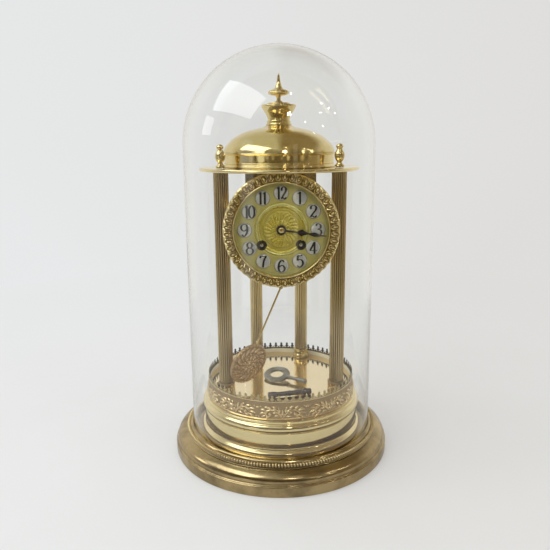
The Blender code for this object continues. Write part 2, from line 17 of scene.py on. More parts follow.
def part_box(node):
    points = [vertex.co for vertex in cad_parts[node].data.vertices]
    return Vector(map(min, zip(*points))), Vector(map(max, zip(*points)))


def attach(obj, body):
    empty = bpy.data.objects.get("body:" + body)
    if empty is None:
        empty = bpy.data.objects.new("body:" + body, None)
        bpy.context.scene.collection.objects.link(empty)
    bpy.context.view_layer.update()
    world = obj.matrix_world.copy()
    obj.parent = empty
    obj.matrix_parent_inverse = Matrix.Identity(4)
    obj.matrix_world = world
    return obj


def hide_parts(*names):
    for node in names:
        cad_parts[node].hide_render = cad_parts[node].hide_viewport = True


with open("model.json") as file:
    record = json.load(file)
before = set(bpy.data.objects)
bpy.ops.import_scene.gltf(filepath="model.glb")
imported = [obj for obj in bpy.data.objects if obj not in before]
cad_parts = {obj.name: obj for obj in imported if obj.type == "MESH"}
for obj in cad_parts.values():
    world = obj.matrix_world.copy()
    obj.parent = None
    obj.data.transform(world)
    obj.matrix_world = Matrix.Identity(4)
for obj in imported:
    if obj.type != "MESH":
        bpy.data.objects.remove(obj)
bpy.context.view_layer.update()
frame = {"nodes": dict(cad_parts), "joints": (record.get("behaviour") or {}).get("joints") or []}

MM = 0.001
TAU = math.tau
FINE = 192                # segments of a large turned piece


def extent(node):
    """A CAD node's lowest and highest corner, in millimetres."""
    low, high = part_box(node)
    return low / MM, high / MM


def radius_of(node):
    low, high = extent(node)
    return (high.x - low.x) / 2


def middle_of(node):
    low, high = extent(node)
    return (low + high) / 2


BASE_TOP = extent("base_shell")[1].z
GLASS_LOW, GLASS_HIGH = extent("glass_dome")
PLINTH_FOOT = extent("plinth")[0].z
GALLERY_LOW, GALLERY_HIGH = extent("gallery")
PLATFORM_LOW, PLATFORM_HIGH = extent("platform")
CORNICE_TOP = extent("cornice_plate")[1].z
DIAL_LOW, DIAL_HIGH = extent("dial_plate")
DRUM_LOW, DRUM_HIGH = extent("drum_case")
BASE_R = radius_of("base_shell")
DOME_R = radius_of("glass_dome")
GLASS_WALL = 1.8
PLATFORM_R = radius_of("platform")
CORNICE_R = radius_of("cornice_plate")
DIAL_R = radius_of("dial_plate")
DRUM_R = radius_of("drum_case")
DIAL_Z = (DIAL_LOW.z + DIAL_HIGH.z) / 2
DIAL_FACE = -DIAL_LOW.y   # forward of the clock's axis
HOURS = 12
HAND_ANGLE = 98.2         # degrees clockwise from twelve
GALLERY_POINTS = 72
REEDS = 20
BEADS = 216               # round the base, under the glass
BOB_TWIST = 42.0          # degrees that the bob is turned on its rod
CREST_H = 6.6             # the gallery's points over its rim
KEY_CENTRE = (-4.0, -6.0)
KEY_AXIS_H = 4.7          # the bow key's axis over the platform
KEY_YAW = -35.0
KEY_ROLL = 14.0
SMALL_KEY_YAW = 12.0

# Upright bright strips of the room that polished brass mirrors: azimuth, half-width, colour
ROOM_STRIPS = ((-38, 9, (0.95, 0.95, 0.86)), (-60, 6, (0.50, 0.47, 0.38)), (-50, 2, (0.10, 0.08, 0.04)),
               (-25, 2, (0.58, 0.50, 0.34)), (-14, 3, (0.42, 0.36, 0.24)), (4, 2, (0.40, 0.33, 0.20)),
               (17, 3, (0.80, 0.70, 0.48)), (24, 2, (0.06, 0.045, 0.02)), (31, 3, (0.30, 0.25, 0.15)),
               (46, 4, (0.62, 0.52, 0.33)), (56, 2, (0.07, 0.05, 0.02)), (66, 4, (0.34, 0.28, 0.17)))

# The camera stands where the photographer did
CAMERA_PLACE = (-15.6, -606.8, 328.0)
CAMERA_PITCH = 77.2
CAMERA_YAW = -0.99
CAMERA_ROLL = -0.48
LENS = 38.13


# Shapes


def mm(*values):
    return Vector([value * MM for value in values])


def arc(radius, start, end, count, centre=(0.0, 0.0)):
    """Points on an arc, angles in degrees."""
    angles = np.radians(np.linspace(start, end, count))
    return [(centre[0] + radius * math.cos(a), centre[1] + radius * math.sin(a)) for a in angles]


def spline(points, per_span=6, cyclic=False):
    """A smooth line through the points."""
    known = np.array(points, float)
    count = len(known)
    spans = count if cyclic else count - 1
    line = []
    for span in range(spans):
        picks = [span - 1, span, span + 1, span + 2]
        picks = [pick % count if cyclic else min(max(pick, 0), count - 1) for pick in picks]
        before, start, end, after = known[picks]
        for step in range(per_span):
            t = step / per_span
            line.append(0.5 * (2 * start + (end - before) * t
                               + (2 * before - 5 * start + 4 * end - after) * t * t
                               + (3 * start - before - 3 * end + after) * t ** 3))
    if not cyclic:
        line.append(known[-1])
    return [tuple(point) for point in line]


def rounded(points, radius=0.4, steps=3, closed=False):
    """The same outline with its corners eased by a small radius."""
    known = [np.array(point, float) for point in points]
    count = len(known)
    line = []
    for index, corner in enumerate(known):
        if not closed and index in (0, count - 1):
            line.append(tuple(corner))
            continue
        before, after = known[index - 1] - corner, known[(index + 1) % count] - corner
        reach_in = min(radius, np.linalg.norm(before) * 0.45)
        reach_out = min(radius, np.linalg.norm(after) * 0.45)
        start = corner + before / max(np.linalg.norm(before), 1e-6) * reach_in
        end = corner + after / max(np.linalg.norm(after), 1e-6) * reach_out
        for t in np.linspace(0, 1, steps):
            line.append(tuple((1 - t) ** 2 * start + 2 * t * (1 - t) * corner + t * t * end))
    return line


def shifted(*values):
    return Matrix.Translation(mm(*values))


def about(axis, degrees):
    return Matrix.Rotation(math.radians(degrees), 4, axis)


def facing_front(x=0.0, z=DIAL_Z, turn=0.0):
    """Local +Z points to the front (-Y) and local +Y up; turn is clockwise as seen from the front."""
    return shifted(x, 0, z) @ about("X", 90) @ about("Z", -turn)


def upright(x=0.0, y=0.0, z=0.0, turn=0.0):
    return shifted(x, y, z) @ about("Z", turn)


def piece(name, verts, faces, material, place=None, relief=None, sharp=38.0, merge=True):
    """A mesh object from points in millimetres; relief (0 deep, 1 proud) tints its material."""
    mesh = bpy.data.meshes.new(name)
    mesh.from_pydata([tuple(point) for point in np.asarray(verts, float) * MM], [], faces)
    if relief is not None:
        tint = mesh.attributes.new("relief", "FLOAT", "POINT").data
        tint.foreach_set("value", np.asarray(relief, np.float32))
    bm = bmesh.new()
    bm.from_mesh(mesh)
    if merge:
        bmesh.ops.remove_doubles(bm, verts=bm.verts, dist=1e-6)
    bmesh.ops.recalc_face_normals(bm, faces=bm.faces)
    bm.to_mesh(mesh)
    bm.free()
    mesh.shade_smooth()
    mesh.set_sharp_from_angle(angle=math.radians(sharp))
    obj = bpy.data.objects.new(name, mesh)
    bpy.context.scene.collection.objects.link(obj)
    mesh.materials.append(material)
    if place is not None:
        obj.matrix_world = place
    return obj


def settle(obj, body, slot, *nodes):
    """Fix a finished piece to its body and hide the CAD nodes it stands for; slot is not used."""
    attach(obj, body)
    if nodes:
        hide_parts(*nodes)
    return obj


def quads(rows, columns, closed=False):
    """Faces between rings of points, one ring after another."""
    faces = []
    for row in range(rows if closed else rows - 1):
        low, high = row * columns, (row + 1) % rows * columns
        for column in range(columns):
            after = (column + 1) % columns
            faces.append((low + column, low + after, high + after, high + column))
    return faces


def spun(profile, segments=FINE, closed=False, height=None):
    """Points, faces and relief of a lathe-turned shape.

    height(theta, s, radius, level) raises the surface along its normal, in millimetres; s runs
    from 0 to 1 along the profile.
    """
    line = np.array(profile, float)
    count = len(line)
    if closed:
        step = np.roll(line, -1, 0) - np.roll(line, 1, 0)
    else:
        step = np.gradient(line, axis=0)
    normal = np.stack([-step[:, 1], step[:, 0]], 1)
    normal /= np.maximum(np.linalg.norm(normal, axis=1, keepdims=True), 1e-9)
    lengths = np.concatenate([[0], np.cumsum(np.linalg.norm(np.diff(line, axis=0), axis=1))])
    along = (lengths / lengths[-1])[:, None] + np.zeros((1, segments))
    theta = np.arange(segments)[None, :] * TAU / segments + np.zeros((count, 1))
    radius = line[:, :1] + np.zeros((1, segments))
    level = line[:, 1:] + np.zeros((1, segments))
    relief = np.ones_like(radius)
    if height is not None:
        lift = height(theta, along, radius, level)
        relief = np.clip(lift / max(lift.max(), 1e-6), 0, 1)
        radius = radius + lift * normal[:, :1]
        level = level + lift * normal[:, 1:]
    radius = np.maximum(radius, 0)
    verts = np.stack([radius * np.cos(theta), radius * np.sin(theta), level], 2).reshape(-1, 3)
    return verts, quads(count, segments, closed), relief.reshape(-1)


def band_of(first, second, high, low):
    """A closed rectangular profile."""
    return [(first, high), (first, low), (second, low), (second, high)]


def turned(name, profile, material, place=None, segments=FINE, closed=False, height=None, sharp=38.0):
    verts, faces, relief = spun(profile, segments, closed, height)
    return piece(name, verts, faces, material, place, relief, sharp)


def fitted(name, profile, material, body, slot, *nodes, **shape):
    """A turned piece, settled; shape holds turned()'s other arguments."""
    return settle(turned(name, profile, material, **shape), body, slot, *nodes)


def cut_away(obj, *cutters):
    """Cut the shapes of other objects out of a piece, and drop them."""
    for cutter in cutters:
        cut = obj.modifiers.new(cutter.name, "BOOLEAN")
        cut.operation = "DIFFERENCE"
        cut.object = cutter
        cut.solver = "EXACT"
    pierced = bpy.data.meshes.new_from_object(obj.evaluated_get(bpy.context.evaluated_depsgraph_get()))
    obj.modifiers.clear()
    obj.data = pierced
    for cutter in cutters:
        bpy.data.objects.remove(cutter)


def extruded(name, outline, low, high, material, place=None, holes=(), bevel=0.0):
    """A plate cut to an outline, with eased edges."""
    curve = bpy.data.curves.new(name + "_outline", "CURVE")
    curve.dimensions = "2D"
    curve.fill_mode = "BOTH"
    curve.extrude = (high - low) / 2 * MM - bevel * MM
    curve.bevel_depth = bevel * MM
    curve.bevel_resolution = 1
    curve.offset = -bevel * MM
    for loop in (outline, *holes):
        path = curve.splines.new("POLY")
        path.points.add(len(loop) - 1)
        for point, (x, y) in zip(path.points, loop):
            point.co = (x * MM, y * MM, 0.0, 1.0)
        path.use_cyclic_u = True
    source = bpy.data.objects.new(name + "_source", curve)
    bpy.context.scene.collection.objects.link(source)
    mesh = bpy.data.meshes.new_from_object(source.evaluated_get(bpy.context.evaluated_depsgraph_get()))
    bpy.data.objects.remove(source)
    verts = np.array([vert.co for vert in mesh.vertices]) / MM
    verts[:, 2] += (low + high) / 2
    faces = [tuple(face.vertices) for face in mesh.polygons]
    bpy.data.meshes.remove(mesh)
    return piece(name, verts, faces, material, place, np.ones(len(verts)), 30.0)


def joined(name, parts, material, place=None, sharp=38.0):
    """One object from several (points, faces, relief) shapes."""
    verts, faces, relief = [], [], []
    total = 0
    for points, polygons, heights in parts:
        verts.append(points)
        relief.append(heights)
        faces.extend(tuple(index + total for index in face) for face in polygons)
        total += len(points)
    return piece(name, np.concatenate(verts), faces, material, place, np.concatenate(relief), sharp, False)


def swept_relief(x, y, strokes):
    """Height field of rounded strokes, each (bezier points, half-width, lift)."""
    height = np.zeros_like(x)
    for (start, middle, end), width, lift in strokes:
        for t in np.linspace(0.03, 0.97, 15):
            bend = 2 * t * (1 - t) * np.array(middle)
            px, py = (1 - t) ** 2 * np.array(start) + bend + t * t * np.array(end)
            reach = width * (0.25 + 0.75 * math.sin(math.pi * t ** 0.75))
            inside = 1 - ((x - px) ** 2 + (y - py) ** 2) / reach ** 2
            height = np.maximum(height, lift * np.sqrt(np.maximum(inside, 0)))
    return height


def petals(theta, radius, count, inner, outer, lift, twist=0.0, fill=0.9, vein=0.0):
    """A ring of rounded petals between two radii."""
    t = np.clip((radius - inner) / (outer - inner), 0, 1)
    pitch = TAU / count
    offset = (theta + twist * t + pitch / 2) % pitch - pitch / 2
    width = pitch / 2 * fill * np.sin(math.pi * np.clip(t * 0.92 + 0.06, 0, 1)) ** 0.45
    across = np.clip(1 - (offset / np.maximum(width, 1e-6)) ** 2, 0, 1)
    ends = np.clip(np.sin(math.pi * t), 0, 1) ** 0.4
    shape = np.sqrt(across) * ends
    shape -= vein * np.exp(-(offset / (pitch * 0.07)) ** 2) * ends
    return lift * np.where((radius > inner) & (radius < outer), np.maximum(shape, 0), 0)


# Materials


def fill(made, inputs):
    """Link sockets into a node's inputs, or set plain values on them."""
    for key, value in inputs.items():
        if isinstance(value, bpy.types.NodeSocket):
            made.id_data.links.new(value, made.inputs[key])
        else:
            made.inputs[key].default_value = value


def node(tree, kind, inputs=None, **settings):
    """A shader node; inputs holds sockets to link or values to set."""
    made = tree.nodes.new(kind)
    for key, value in settings.items():
        setattr(made, key, value)
    fill(made, inputs or {})
    return made


def start_material(name):
    material = bpy.data.materials.new(name)
    material.use_nodes = True
    tree = material.node_tree
    return material, tree.nodes["Principled BSDF"], node(tree, "ShaderNodeTexCoord").outputs["Object"]


def ranged(value, low, high, to_low=0.0, to_high=1.0):
    made = node(value.id_data, "ShaderNodeMapRange", {"Value": value, "From Min": low, "From Max": high,
                                                      "To Min": to_low, "To Max": to_high})
    return made.outputs["Result"]


def blended(factor, first, second):
    """A colour between two others, each a socket or a plain colour."""
    made = node(factor.id_data, "ShaderNodeMix", {"Factor": factor}, data_type="RGBA")
    fill(made, {index: value if isinstance(value, bpy.types.NodeSocket) else (*value, 1.0)
                for index, value in ((6, first), (7, second))})
    return made.outputs[2]


def noise(place, scale, detail=4.0, roughness=0.6, stretch=None):
    if stretch:
        place = node(place.id_data, "ShaderNodeMapping",
                     {"Vector": place, "Scale": stretch}).outputs["Vector"]
    made = node(place.id_data, "ShaderNodeTexNoise", {"Vector": place, "Scale": scale, "Detail": detail,
                                                      "Roughness": roughness})
    return made.outputs["Fac"]


def bumped(height, strength, distance, under=None):
    """A normal roughened by a height, over another normal."""
    made = node(height.id_data, "ShaderNodeBump",
                {"Height": height, "Strength": strength, "Distance": distance})
    if under is not None:
        fill(made, {"Normal": under})
    return made.outputs[0]


def calculated(operation, first, second):
    return node(first.id_data, "ShaderNodeMath", {0: first, 1: second}, operation=operation).outputs[0]


def length_of(vector):
    return node(vector.id_data, "ShaderNodeVectorMath", {0: vector}, operation="LENGTH").outputs["Value"]


def joined_axes(x, y):
    return node(x.id_data, "ShaderNodeCombineXYZ", {"X": x, "Y": y}).outputs[0]


def from_axis(place):
    """Distance from the piece's own axis, and height along it."""
    parts = node(place.id_data, "ShaderNodeSeparateXYZ", {"Vector": place}).outputs
    return length_of(joined_axes(parts["X"], parts["Y"])), parts["Z"]


def relief_of(place):
    """0 in the depths of a raised pattern, 1 on its top."""
    return node(place.id_data, "ShaderNodeAttribute", attribute_name="relief").outputs["Fac"]


def metal(name, bright, dull, shine=(0.12, 0.3), patch=28.0, tarnish=0.6, recess_shade=None, rings=0.0,
          hammered=0.03, grain=2200.0, spots=0.25, core=None, metallic=1.0):
    """Worn metal: patches of tarnish, small spots, turning lines and fine scratches, with painted shade
    darkening the depths of a raised pattern.

    core is a (radius, colour) pair that recolours the middle of a round piece.
    """
    material, shader, place = start_material(name)
    clouds = noise(place, patch, 6.0, 0.62)
    freckle = ranged(noise(place, patch * 11, 3.0, 0.7), 0.60, 0.74, 0.0, spots)
    if core is not None:
        inside = ranged(from_axis(place)[0], (core[0] + 0.6) * MM, (core[0] - 0.6) * MM)
        bright = blended(inside, bright, core[1])
    colour = blended(ranged(clouds, 0.40, 0.66, 0.0, tarnish), bright, dull)
    colour = blended(freckle, colour, dull)
    rough = ranged(clouds, 0.3, 0.72, *shine)
    # Painted shade: where the relief attribute is low, in the depths of a raised pattern, the colour turns
    # to the recess colour.
    if recess_shade is not None:
        relief = relief_of(place)
        colour = blended(ranged(relief, 0.05, 0.8, 1.0, 0.0), colour, recess_shade)
        rough = calculated("ADD", rough, ranged(relief, 0.0, 0.7, 0.25, 0.0))
    normal = bumped(noise(place, patch * 2.2, 2.0, 0.4), hammered, 0.002)
    if rings:
        reach, along = from_axis(place)
        normal = bumped(noise(joined_axes(reach, along), 2600.0, 3.0, 0.7), rings, 0.0002, normal)
    normal = bumped(noise(place, grain, 2.0, 0.5), 0.05, 0.0002, normal)
    fill(shader, {"Base Color": colour, "Roughness": rough, "Metallic": metallic, "Normal": normal})
    return material


def glass(name, tint, ripple):
    """Clear blown glass; lamps shine through it onto what it covers."""
    material, shader, place = start_material(name)
    smear = ranged(noise(place, 9.0, 4.0, 0.55), 0.45, 0.8, 0.0, 0.03)
    waves = bumped(noise(place, 14.0, 1.0, 0.3), ripple, 0.002)
    fill(shader, {"Base Color": (*tint, 1.0), "Transmission Weight": 1.0, "IOR": 1.46, "Roughness": smear,
                  "Normal": waves})
    tree = material.node_tree
    clear = node(tree, "ShaderNodeBsdfTransparent", {"Color": (0.93, 0.95, 0.94, 1.0)})
    is_shadow = node(tree, "ShaderNodeLightPath").outputs["Is Shadow Ray"]
    mixed = node(tree, "ShaderNodeMixShader", {0: is_shadow, 1: shader.outputs[0], 2: clear.outputs[0]})
    fill(tree.nodes["Material Output"], {"Surface": mixed.outputs[0]})
    return material


def enamel():
    """Mottled grey-lilac enamel with a glossy fired skin."""
    material, shader, place = start_material("fired_enamel")
    cloud = noise(place, 130.0, 5.0, 0.6)
    colour = blended(ranged(cloud, 0.35, 0.65), (0.60, 0.575, 0.52), (0.38, 0.365, 0.35))
    edge = ranged(relief_of(place), 0.0, 0.5, 0.75, 0.0)
    colour = blended(edge, colour, (0.20, 0.18, 0.10))
    fill(shader, {"Base Color": colour, "Roughness": ranged(cloud, 0.3, 0.7, 0.12, 0.3), "Coat Weight": 0.3,
                  "Normal": bumped(noise(place, 500.0, 2.0), 0.08, 0.0002)})
    return material


def dark_paint(name, colour, shine):
    """Near-black paint or bluing with worn, slightly brighter patches."""
    material, shader, place = start_material(name)
    wear = noise(place, 260.0, 4.0, 0.6)
    worn = tuple(channel * 2.2 + 0.01 for channel in colour)
    fill(shader, {"Base Color": blended(ranged(wear, 0.45, 0.75), colour, worn), "Metallic": 0.2,
                  "Roughness": ranged(wear, 0.3, 0.7, shine, shine + 0.2), "Specular IOR Level": 0.3,
                  "Normal": bumped(wear, 0.05, 0.0002)})
    return material


def stained_wood():
    """Dark stained board with growth rings and open pores."""
    material, shader, place = start_material("stained_wood")
    bend = noise(place, 12.0, 3.0, 0.5)
    rings = node(place.id_data, "ShaderNodeTexWave", {"Vector": place, "Scale": 28.0, "Distortion": 9.0,
                                                      "Detail": 3.0, "Detail Scale": 1.4}, wave_type="RINGS")
    pores = noise(place, 240.0, 3.0, 0.6, (1.0, 12.0, 12.0))
    colour = blended(rings.outputs["Fac"], (0.16, 0.085, 0.042), (0.085, 0.042, 0.022))
    colour = blended(ranged(pores, 0.5, 0.72), colour, (0.03, 0.016, 0.01))
    fill(shader, {"Base Color": colour, "Roughness": ranged(bend, 0.3, 0.7, 0.45, 0.7),
                  "Normal": bumped(pores, 0.3, 0.0006)})
    return material


BASE_BRASS = metal("aged_base_brass", (0.51, 0.395, 0.21), (0.25, 0.19, 0.105), (0.14, 0.26), 34.0, 0.9,
                   rings=0.05, spots=0.3)
# Painted shade: near-black brass for the floor of the bead channel and a thin ring inside the gallery's rim.
SHADE_BRASS = metal("painted_shade_brass", (0.07, 0.055, 0.03), (0.04, 0.032, 0.02), (0.4, 0.6), 40.0, 0.8)
# Painted shade: the gaps between the beads are near-black.
BEADED_BRASS = metal("beaded_brass", (0.74, 0.60, 0.34), (0.55, 0.43, 0.23), (0.2, 0.3), 22.0, 0.6,
                     recess_shade=(0.02, 0.016, 0.01))
PLINTH_BRASS = metal("pale_polished_brass", (0.90, 0.76, 0.42), (0.80, 0.66, 0.34), (0.045, 0.1), 26.0, 0.4,
                     rings=0.03, spots=0.06, hammered=0.015)
MIRROR_BRASS = metal("mirror_brass", (0.97, 0.82, 0.54), (0.88, 0.71, 0.43), (0.08, 0.13), 20.0, 0.35,
                     rings=0.03, spots=0.08, hammered=0.01)
# Painted light: the lining is made pale and nearly matt, to offset the shade inside the gallery and match
# the platform's reflection.
LIGHTENED_LINING = metal("satin_lining_painted_light", (0.96, 0.89, 0.70), (0.92, 0.84, 0.63), (0.4, 0.5), 30.0, 0.4,
                     spots=0.05, metallic=0.1)
CANOPY_BRASS = metal("canopy_brass", (0.84, 0.69, 0.34), (0.66, 0.52, 0.22), (0.06, 0.13), 24.0, 0.5,
                     rings=0.04, spots=0.12, hammered=0.012)
# Painted shade: the depths of the chased scrolls and leaves are mid-brown.
CHASED_BRASS = metal("chased_brass", (0.88, 0.70, 0.41), (0.72, 0.55, 0.30), (0.10, 0.2), 60.0, 0.6,
                     recess_shade=(0.43, 0.31, 0.165), hammered=0.05)
# Painted shade: the crest's inner faces are near-black and its outer faces somewhat darkened.
CREST_BRASS = metal("crest_brass", (0.78, 0.64, 0.34), (0.55, 0.43, 0.20), (0.2, 0.34), 60.0, 0.6,
                    recess_shade=(0.05, 0.05, 0.03))
# Painted shade: the depths of the egg-and-dart are dark brown.
BEZEL_BRASS = metal("bezel_brass", (0.95, 0.79, 0.40), (0.76, 0.60, 0.27), (0.08, 0.16), 34.0, 0.6,
                    recess_shade=(0.27, 0.19, 0.065))
# Painted shade: the front columns get a darker copy of column_brass, standing for the dark room they
# reflect; both copies paint shade in the reed grooves.
SHADED_FRONT_COLUMN_BRASS = metal("shaded_column_brass", (0.60, 0.46, 0.22), (0.42, 0.31, 0.14), (0.14, 0.26), 30.0,
                           0.6, recess_shade=(0.14, 0.105, 0.05))
COLUMN_BRASS = metal("column_brass", (0.88, 0.72, 0.40), (0.70, 0.56, 0.28), (0.15, 0.25), 30.0, 0.6,
                     recess_shade=(0.34, 0.25, 0.10))
# Painted highlight and shade: raised dial work keeps the bright gilt and lower parts take the recess colour.
GILT = metal("matted_gilt", (0.82, 0.80, 0.38), (0.70, 0.67, 0.26), (0.22, 0.34), 45.0, 0.5,
             recess_shade=(0.50, 0.40, 0.07), grain=3800.0, hammered=0.03, core=(22.4, (0.70, 0.53, 0.06)),
             metallic=0.6)
# Painted shade: the depths of the stamping are brown.
BOB_BRASS = metal("stamped_bob_brass", (1.0, 0.82, 0.56), (0.84, 0.66, 0.41), (0.15, 0.26), 80.0, 0.6,
                  recess_shade=(0.50, 0.34, 0.18), hammered=0.04)
BELL_METAL = metal("bell_metal", (0.80, 0.72, 0.50), (0.55, 0.47, 0.28), (0.14, 0.28), 30.0, 0.5, rings=0.3)
STEEL = metal("worn_steel", (0.42, 0.41, 0.38), (0.22, 0.20, 0.18), (0.26, 0.48), 90.0, 0.8, spots=0.5)
BRIGHT_STEEL = metal("bright_steel", (0.84, 0.84, 0.82), (0.62, 0.61, 0.58), (0.12, 0.22), 90.0, 0.5)
DARK_STEEL = metal("dark_key_steel", (0.20, 0.175, 0.18), (0.10, 0.085, 0.09), (0.22, 0.42), 90.0, 0.8,
                   spots=0.5)
BLUED = dark_paint("blued_steel", (0.012, 0.010, 0.016), 0.24)
# Black paint for the numerals, also used as painted shade in the winding holes.
BLACK_PRINT_AND_SHADE = dark_paint("black_numerals_and_hole_shade", (0.008, 0.008, 0.012), 0.35)
CLEAR = glass("blown_glass", (0.985, 0.992, 0.988), 0.05)
CRYSTAL = glass("bezel_crystal_glass", (0.99, 0.99, 0.985), 0.02)
ENAMEL = enamel()
WOOD = stained_wood()


# Base and glass


def make_base():
    floor = BASE_TOP - 6.3
    ledge = GLASS_LOW.z - 0.3
    lip = BASE_TOP
    channel = BASE_R - 14.2
    top = [(60.0, floor), (BASE_R - 23.1, floor), (BASE_R - 22.9, ledge), (DOME_R + 0.4, ledge),
           (DOME_R + 0.6, lip), (BASE_R - 17.4, lip), (BASE_R - 16.6, lip - 0.5), (channel - 1.2, lip - 2.3),
           (channel - 1.0, lip - 3.5), (channel + 0.9, lip - 4.9), (channel + 1.3, lip - 4.6),
           (BASE_R - 12.4, lip - 6.4)]
    swell = spline([(BASE_R - 12.0, lip - 6.5), (BASE_R - 9.4, lip - 7.2), (BASE_R - 6.2, lip - 8.7),
                    (BASE_R - 3.6, lip - 11.0), (BASE_R - 2.2, lip - 13.5), (BASE_R - 1.7, lip - 16.0)], 8)
    foot = [(BASE_R - 2.0, 12.9), (BASE_R - 2.0, 11.9), (BASE_R - 1.2, 11.5), (BASE_R - 1.1, 10.9),
            (BASE_R - 0.3, 10.6), (BASE_R, 9.8), (BASE_R, 0.4), (BASE_R - 0.5, 0.0), (112.6, 0.0),
            (112.0, 9.0), (101.4, 18.8), (98.6, floor - 2.0), (60.0, floor - 2.0)]
    profile = rounded([*top, *swell, *foot], 0.35, 3, True)
    fitted("base_turning", profile, BASE_BRASS, "stand", "polished_brass", "base_shell", segments=256,
           closed=True)
    # Painted shade: the channel behind the beads is lined with near-black brass.
    bed = [(channel - 1.1, lip - 3.0), (channel + 1.0, lip - 4.45), (channel + 0.9, lip - 4.9),
           (channel - 1.1, lip - 3.5)]
    fitted("bead_channel", bed, SHADE_BRASS, "stand", "polished_brass", closed=True)
    bead, gap = 1.0, 1.2

    def milled(theta, along, radius, level):
        return gap * (1 - np.abs(np.cos(BEADS / 2 * theta)) ** 5)

    # Painted shade: the gaps between the beads, low in relief, take beaded_brass's near-black recess colour.
    ring = arc(bead, 165, -15, 9, (channel, lip - 3.9))
    fitted("base_bead_ring", ring, BEADED_BRASS, "stand", "polished_brass", segments=BEADS * 6,
           height=milled, sharp=80.0)
    frame["nodes"]["base_board"].data.materials[0] = WOOD


def make_glass_dome():
    centre = GLASS_HIGH.z - DOME_R
    inner_r = DOME_R - GLASS_WALL
    foot = GLASS_LOW.z
    outside = [(r, z + centre) for r, z in arc(DOME_R, 90, 0, 44)]
    inside = [(r, z + centre) for r, z in arc(inner_r, 0, 90, 44)]
    outside[0] = (0.0, GLASS_HIGH.z)
    inside[-1] = (0.0, GLASS_HIGH.z - GLASS_WALL)
    rim = [(DOME_R - 0.3, foot + 0.2), ((DOME_R + inner_r) / 2, foot), (inner_r + 0.3, foot + 0.2)]
    levels = [centre - 1, 180.0, foot + 4, foot + 2, foot + 1.2]
    profile = [*outside, *[(DOME_R, z) for z in levels], *rim, *[(inner_r, z) for z in reversed(levels)],
               *inside]
    fitted("glass_shade", profile, CLEAR, "dome", "glass", "glass_dome", segments=160)


def make_plinth():
    under = PLATFORM_LOW.z - 0.3
    ring = arc(4.9, 62, -62, 14, (80.8, 53.4))
    foot = arc(2.6, 68, -30, 8, (84.6, 27.4))
    profile = [(PLATFORM_R, under), (PLATFORM_R, 62.3), (81.8, 62.3), (82.1, 61.2), (82.9, 60.9),
               (83.0, 59.2), (82.4, 58.6), *ring, (82.9, 48.6), (83.6, 48.2), (83.6, 36.4),
               *spline([(83.5, 35.6), (83.3, 33.8), (83.5, 32.1), (84.1, 30.9)], 4), (84.9, 30.4), *foot,
               (86.9, 25.4), (86.9, PLINTH_FOOT), (81.6, PLINTH_FOOT), (81.6, 48.0), (74.0, 60.0),
               (74.0, under)]
    fitted("plinth_turning", rounded(profile, 0.3, 3, True), PLINTH_BRASS, "stand", "polished_brass",
           "plinth", segments=224, closed=True)
    top = PLATFORM_HIGH.z
    disc = [(0.0, top), (PLATFORM_R * 0.3, top), (PLATFORM_R * 0.7, top), (PLATFORM_R, top),
            (PLATFORM_R, PLATFORM_LOW.z), (0.0, PLATFORM_LOW.z)]
    fitted("platform_sheet", rounded(disc, 0.4), MIRROR_BRASS, "stand", "mirror_brass", "platform")


def scroll_cell(width, height):
    """Strokes of one stamped acanthus scroll, in a cell of this width and height."""
    sx, sy = width / 25.0, height / 18.0
    # Three points (x, y), half-width and lift of each stroke
    table = [(0, 3, 5, 14, 12, 12.5, 1.35, 1.0), (12, 12.5, 18, 10.5, 16.6, 6.6, 1.25, 1.0),
             (16.6, 6.6, 14, 3.4, 11.6, 6.4, 1.1, 0.95), (11.6, 6.4, 11.2, 9.2, 13.9, 8.6, 1.0, 1.0),
             (1.6, 6, -1.2, 9, 0.4, 13, 1.15, 0.8), (3.6, 9.6, 2.2, 13, 4.4, 16.2, 1.25, 0.85),
             (7, 12.6, 7.2, 15.4, 10.6, 16.8, 1.25, 0.85), (11.6, 13, 14, 15.6, 17.6, 15.6, 1.2, 0.85),
             (15.6, 11, 18.6, 13.2, 22, 12.2, 1.15, 0.8), (17.2, 8.4, 20.4, 9, 23, 7, 1.1, 0.8),
             (16.6, 5.6, 19.4, 5.2, 21.4, 2.4, 1.05, 0.8), (13.4, 4.2, 15.4, 1.8, 18.4, 1.8, 1.0, 0.7),
             (5.4, 8, 8, 10, 9.8, 8.4, 1.0, 0.7), (3.4, 5, 6.6, 6.4, 8.6, 4.6, 1.05, 0.75),
             (1.6, 2.4, 5.4, 0.8, 9.6, 2.4, 0.9, 0.7), (9.4, 3, 10.4, 1.4, 12.4, 1.4, 0.7, 0.7),
             (13.2, 7.4, 13.4, 7.3, 13.5, 7.2, 0.9, 1.0), (24, 15, 24.3, 15.1, 24.5, 15, 0.9, 0.8),
             (23.6, 4, 23.8, 4.1, 24, 4, 0.8, 0.8), (21.6, 16, 21.9, 16, 22.2, 16, 0.6, 0.7)]
    strokes = []
    for *points, size, lift in table:
        line = [(x * sx, y * sy) for x, y in zip(points[::2], points[1::2])]
        strokes.append((line, size * sy * 1.2, lift * 1.25))
    return strokes


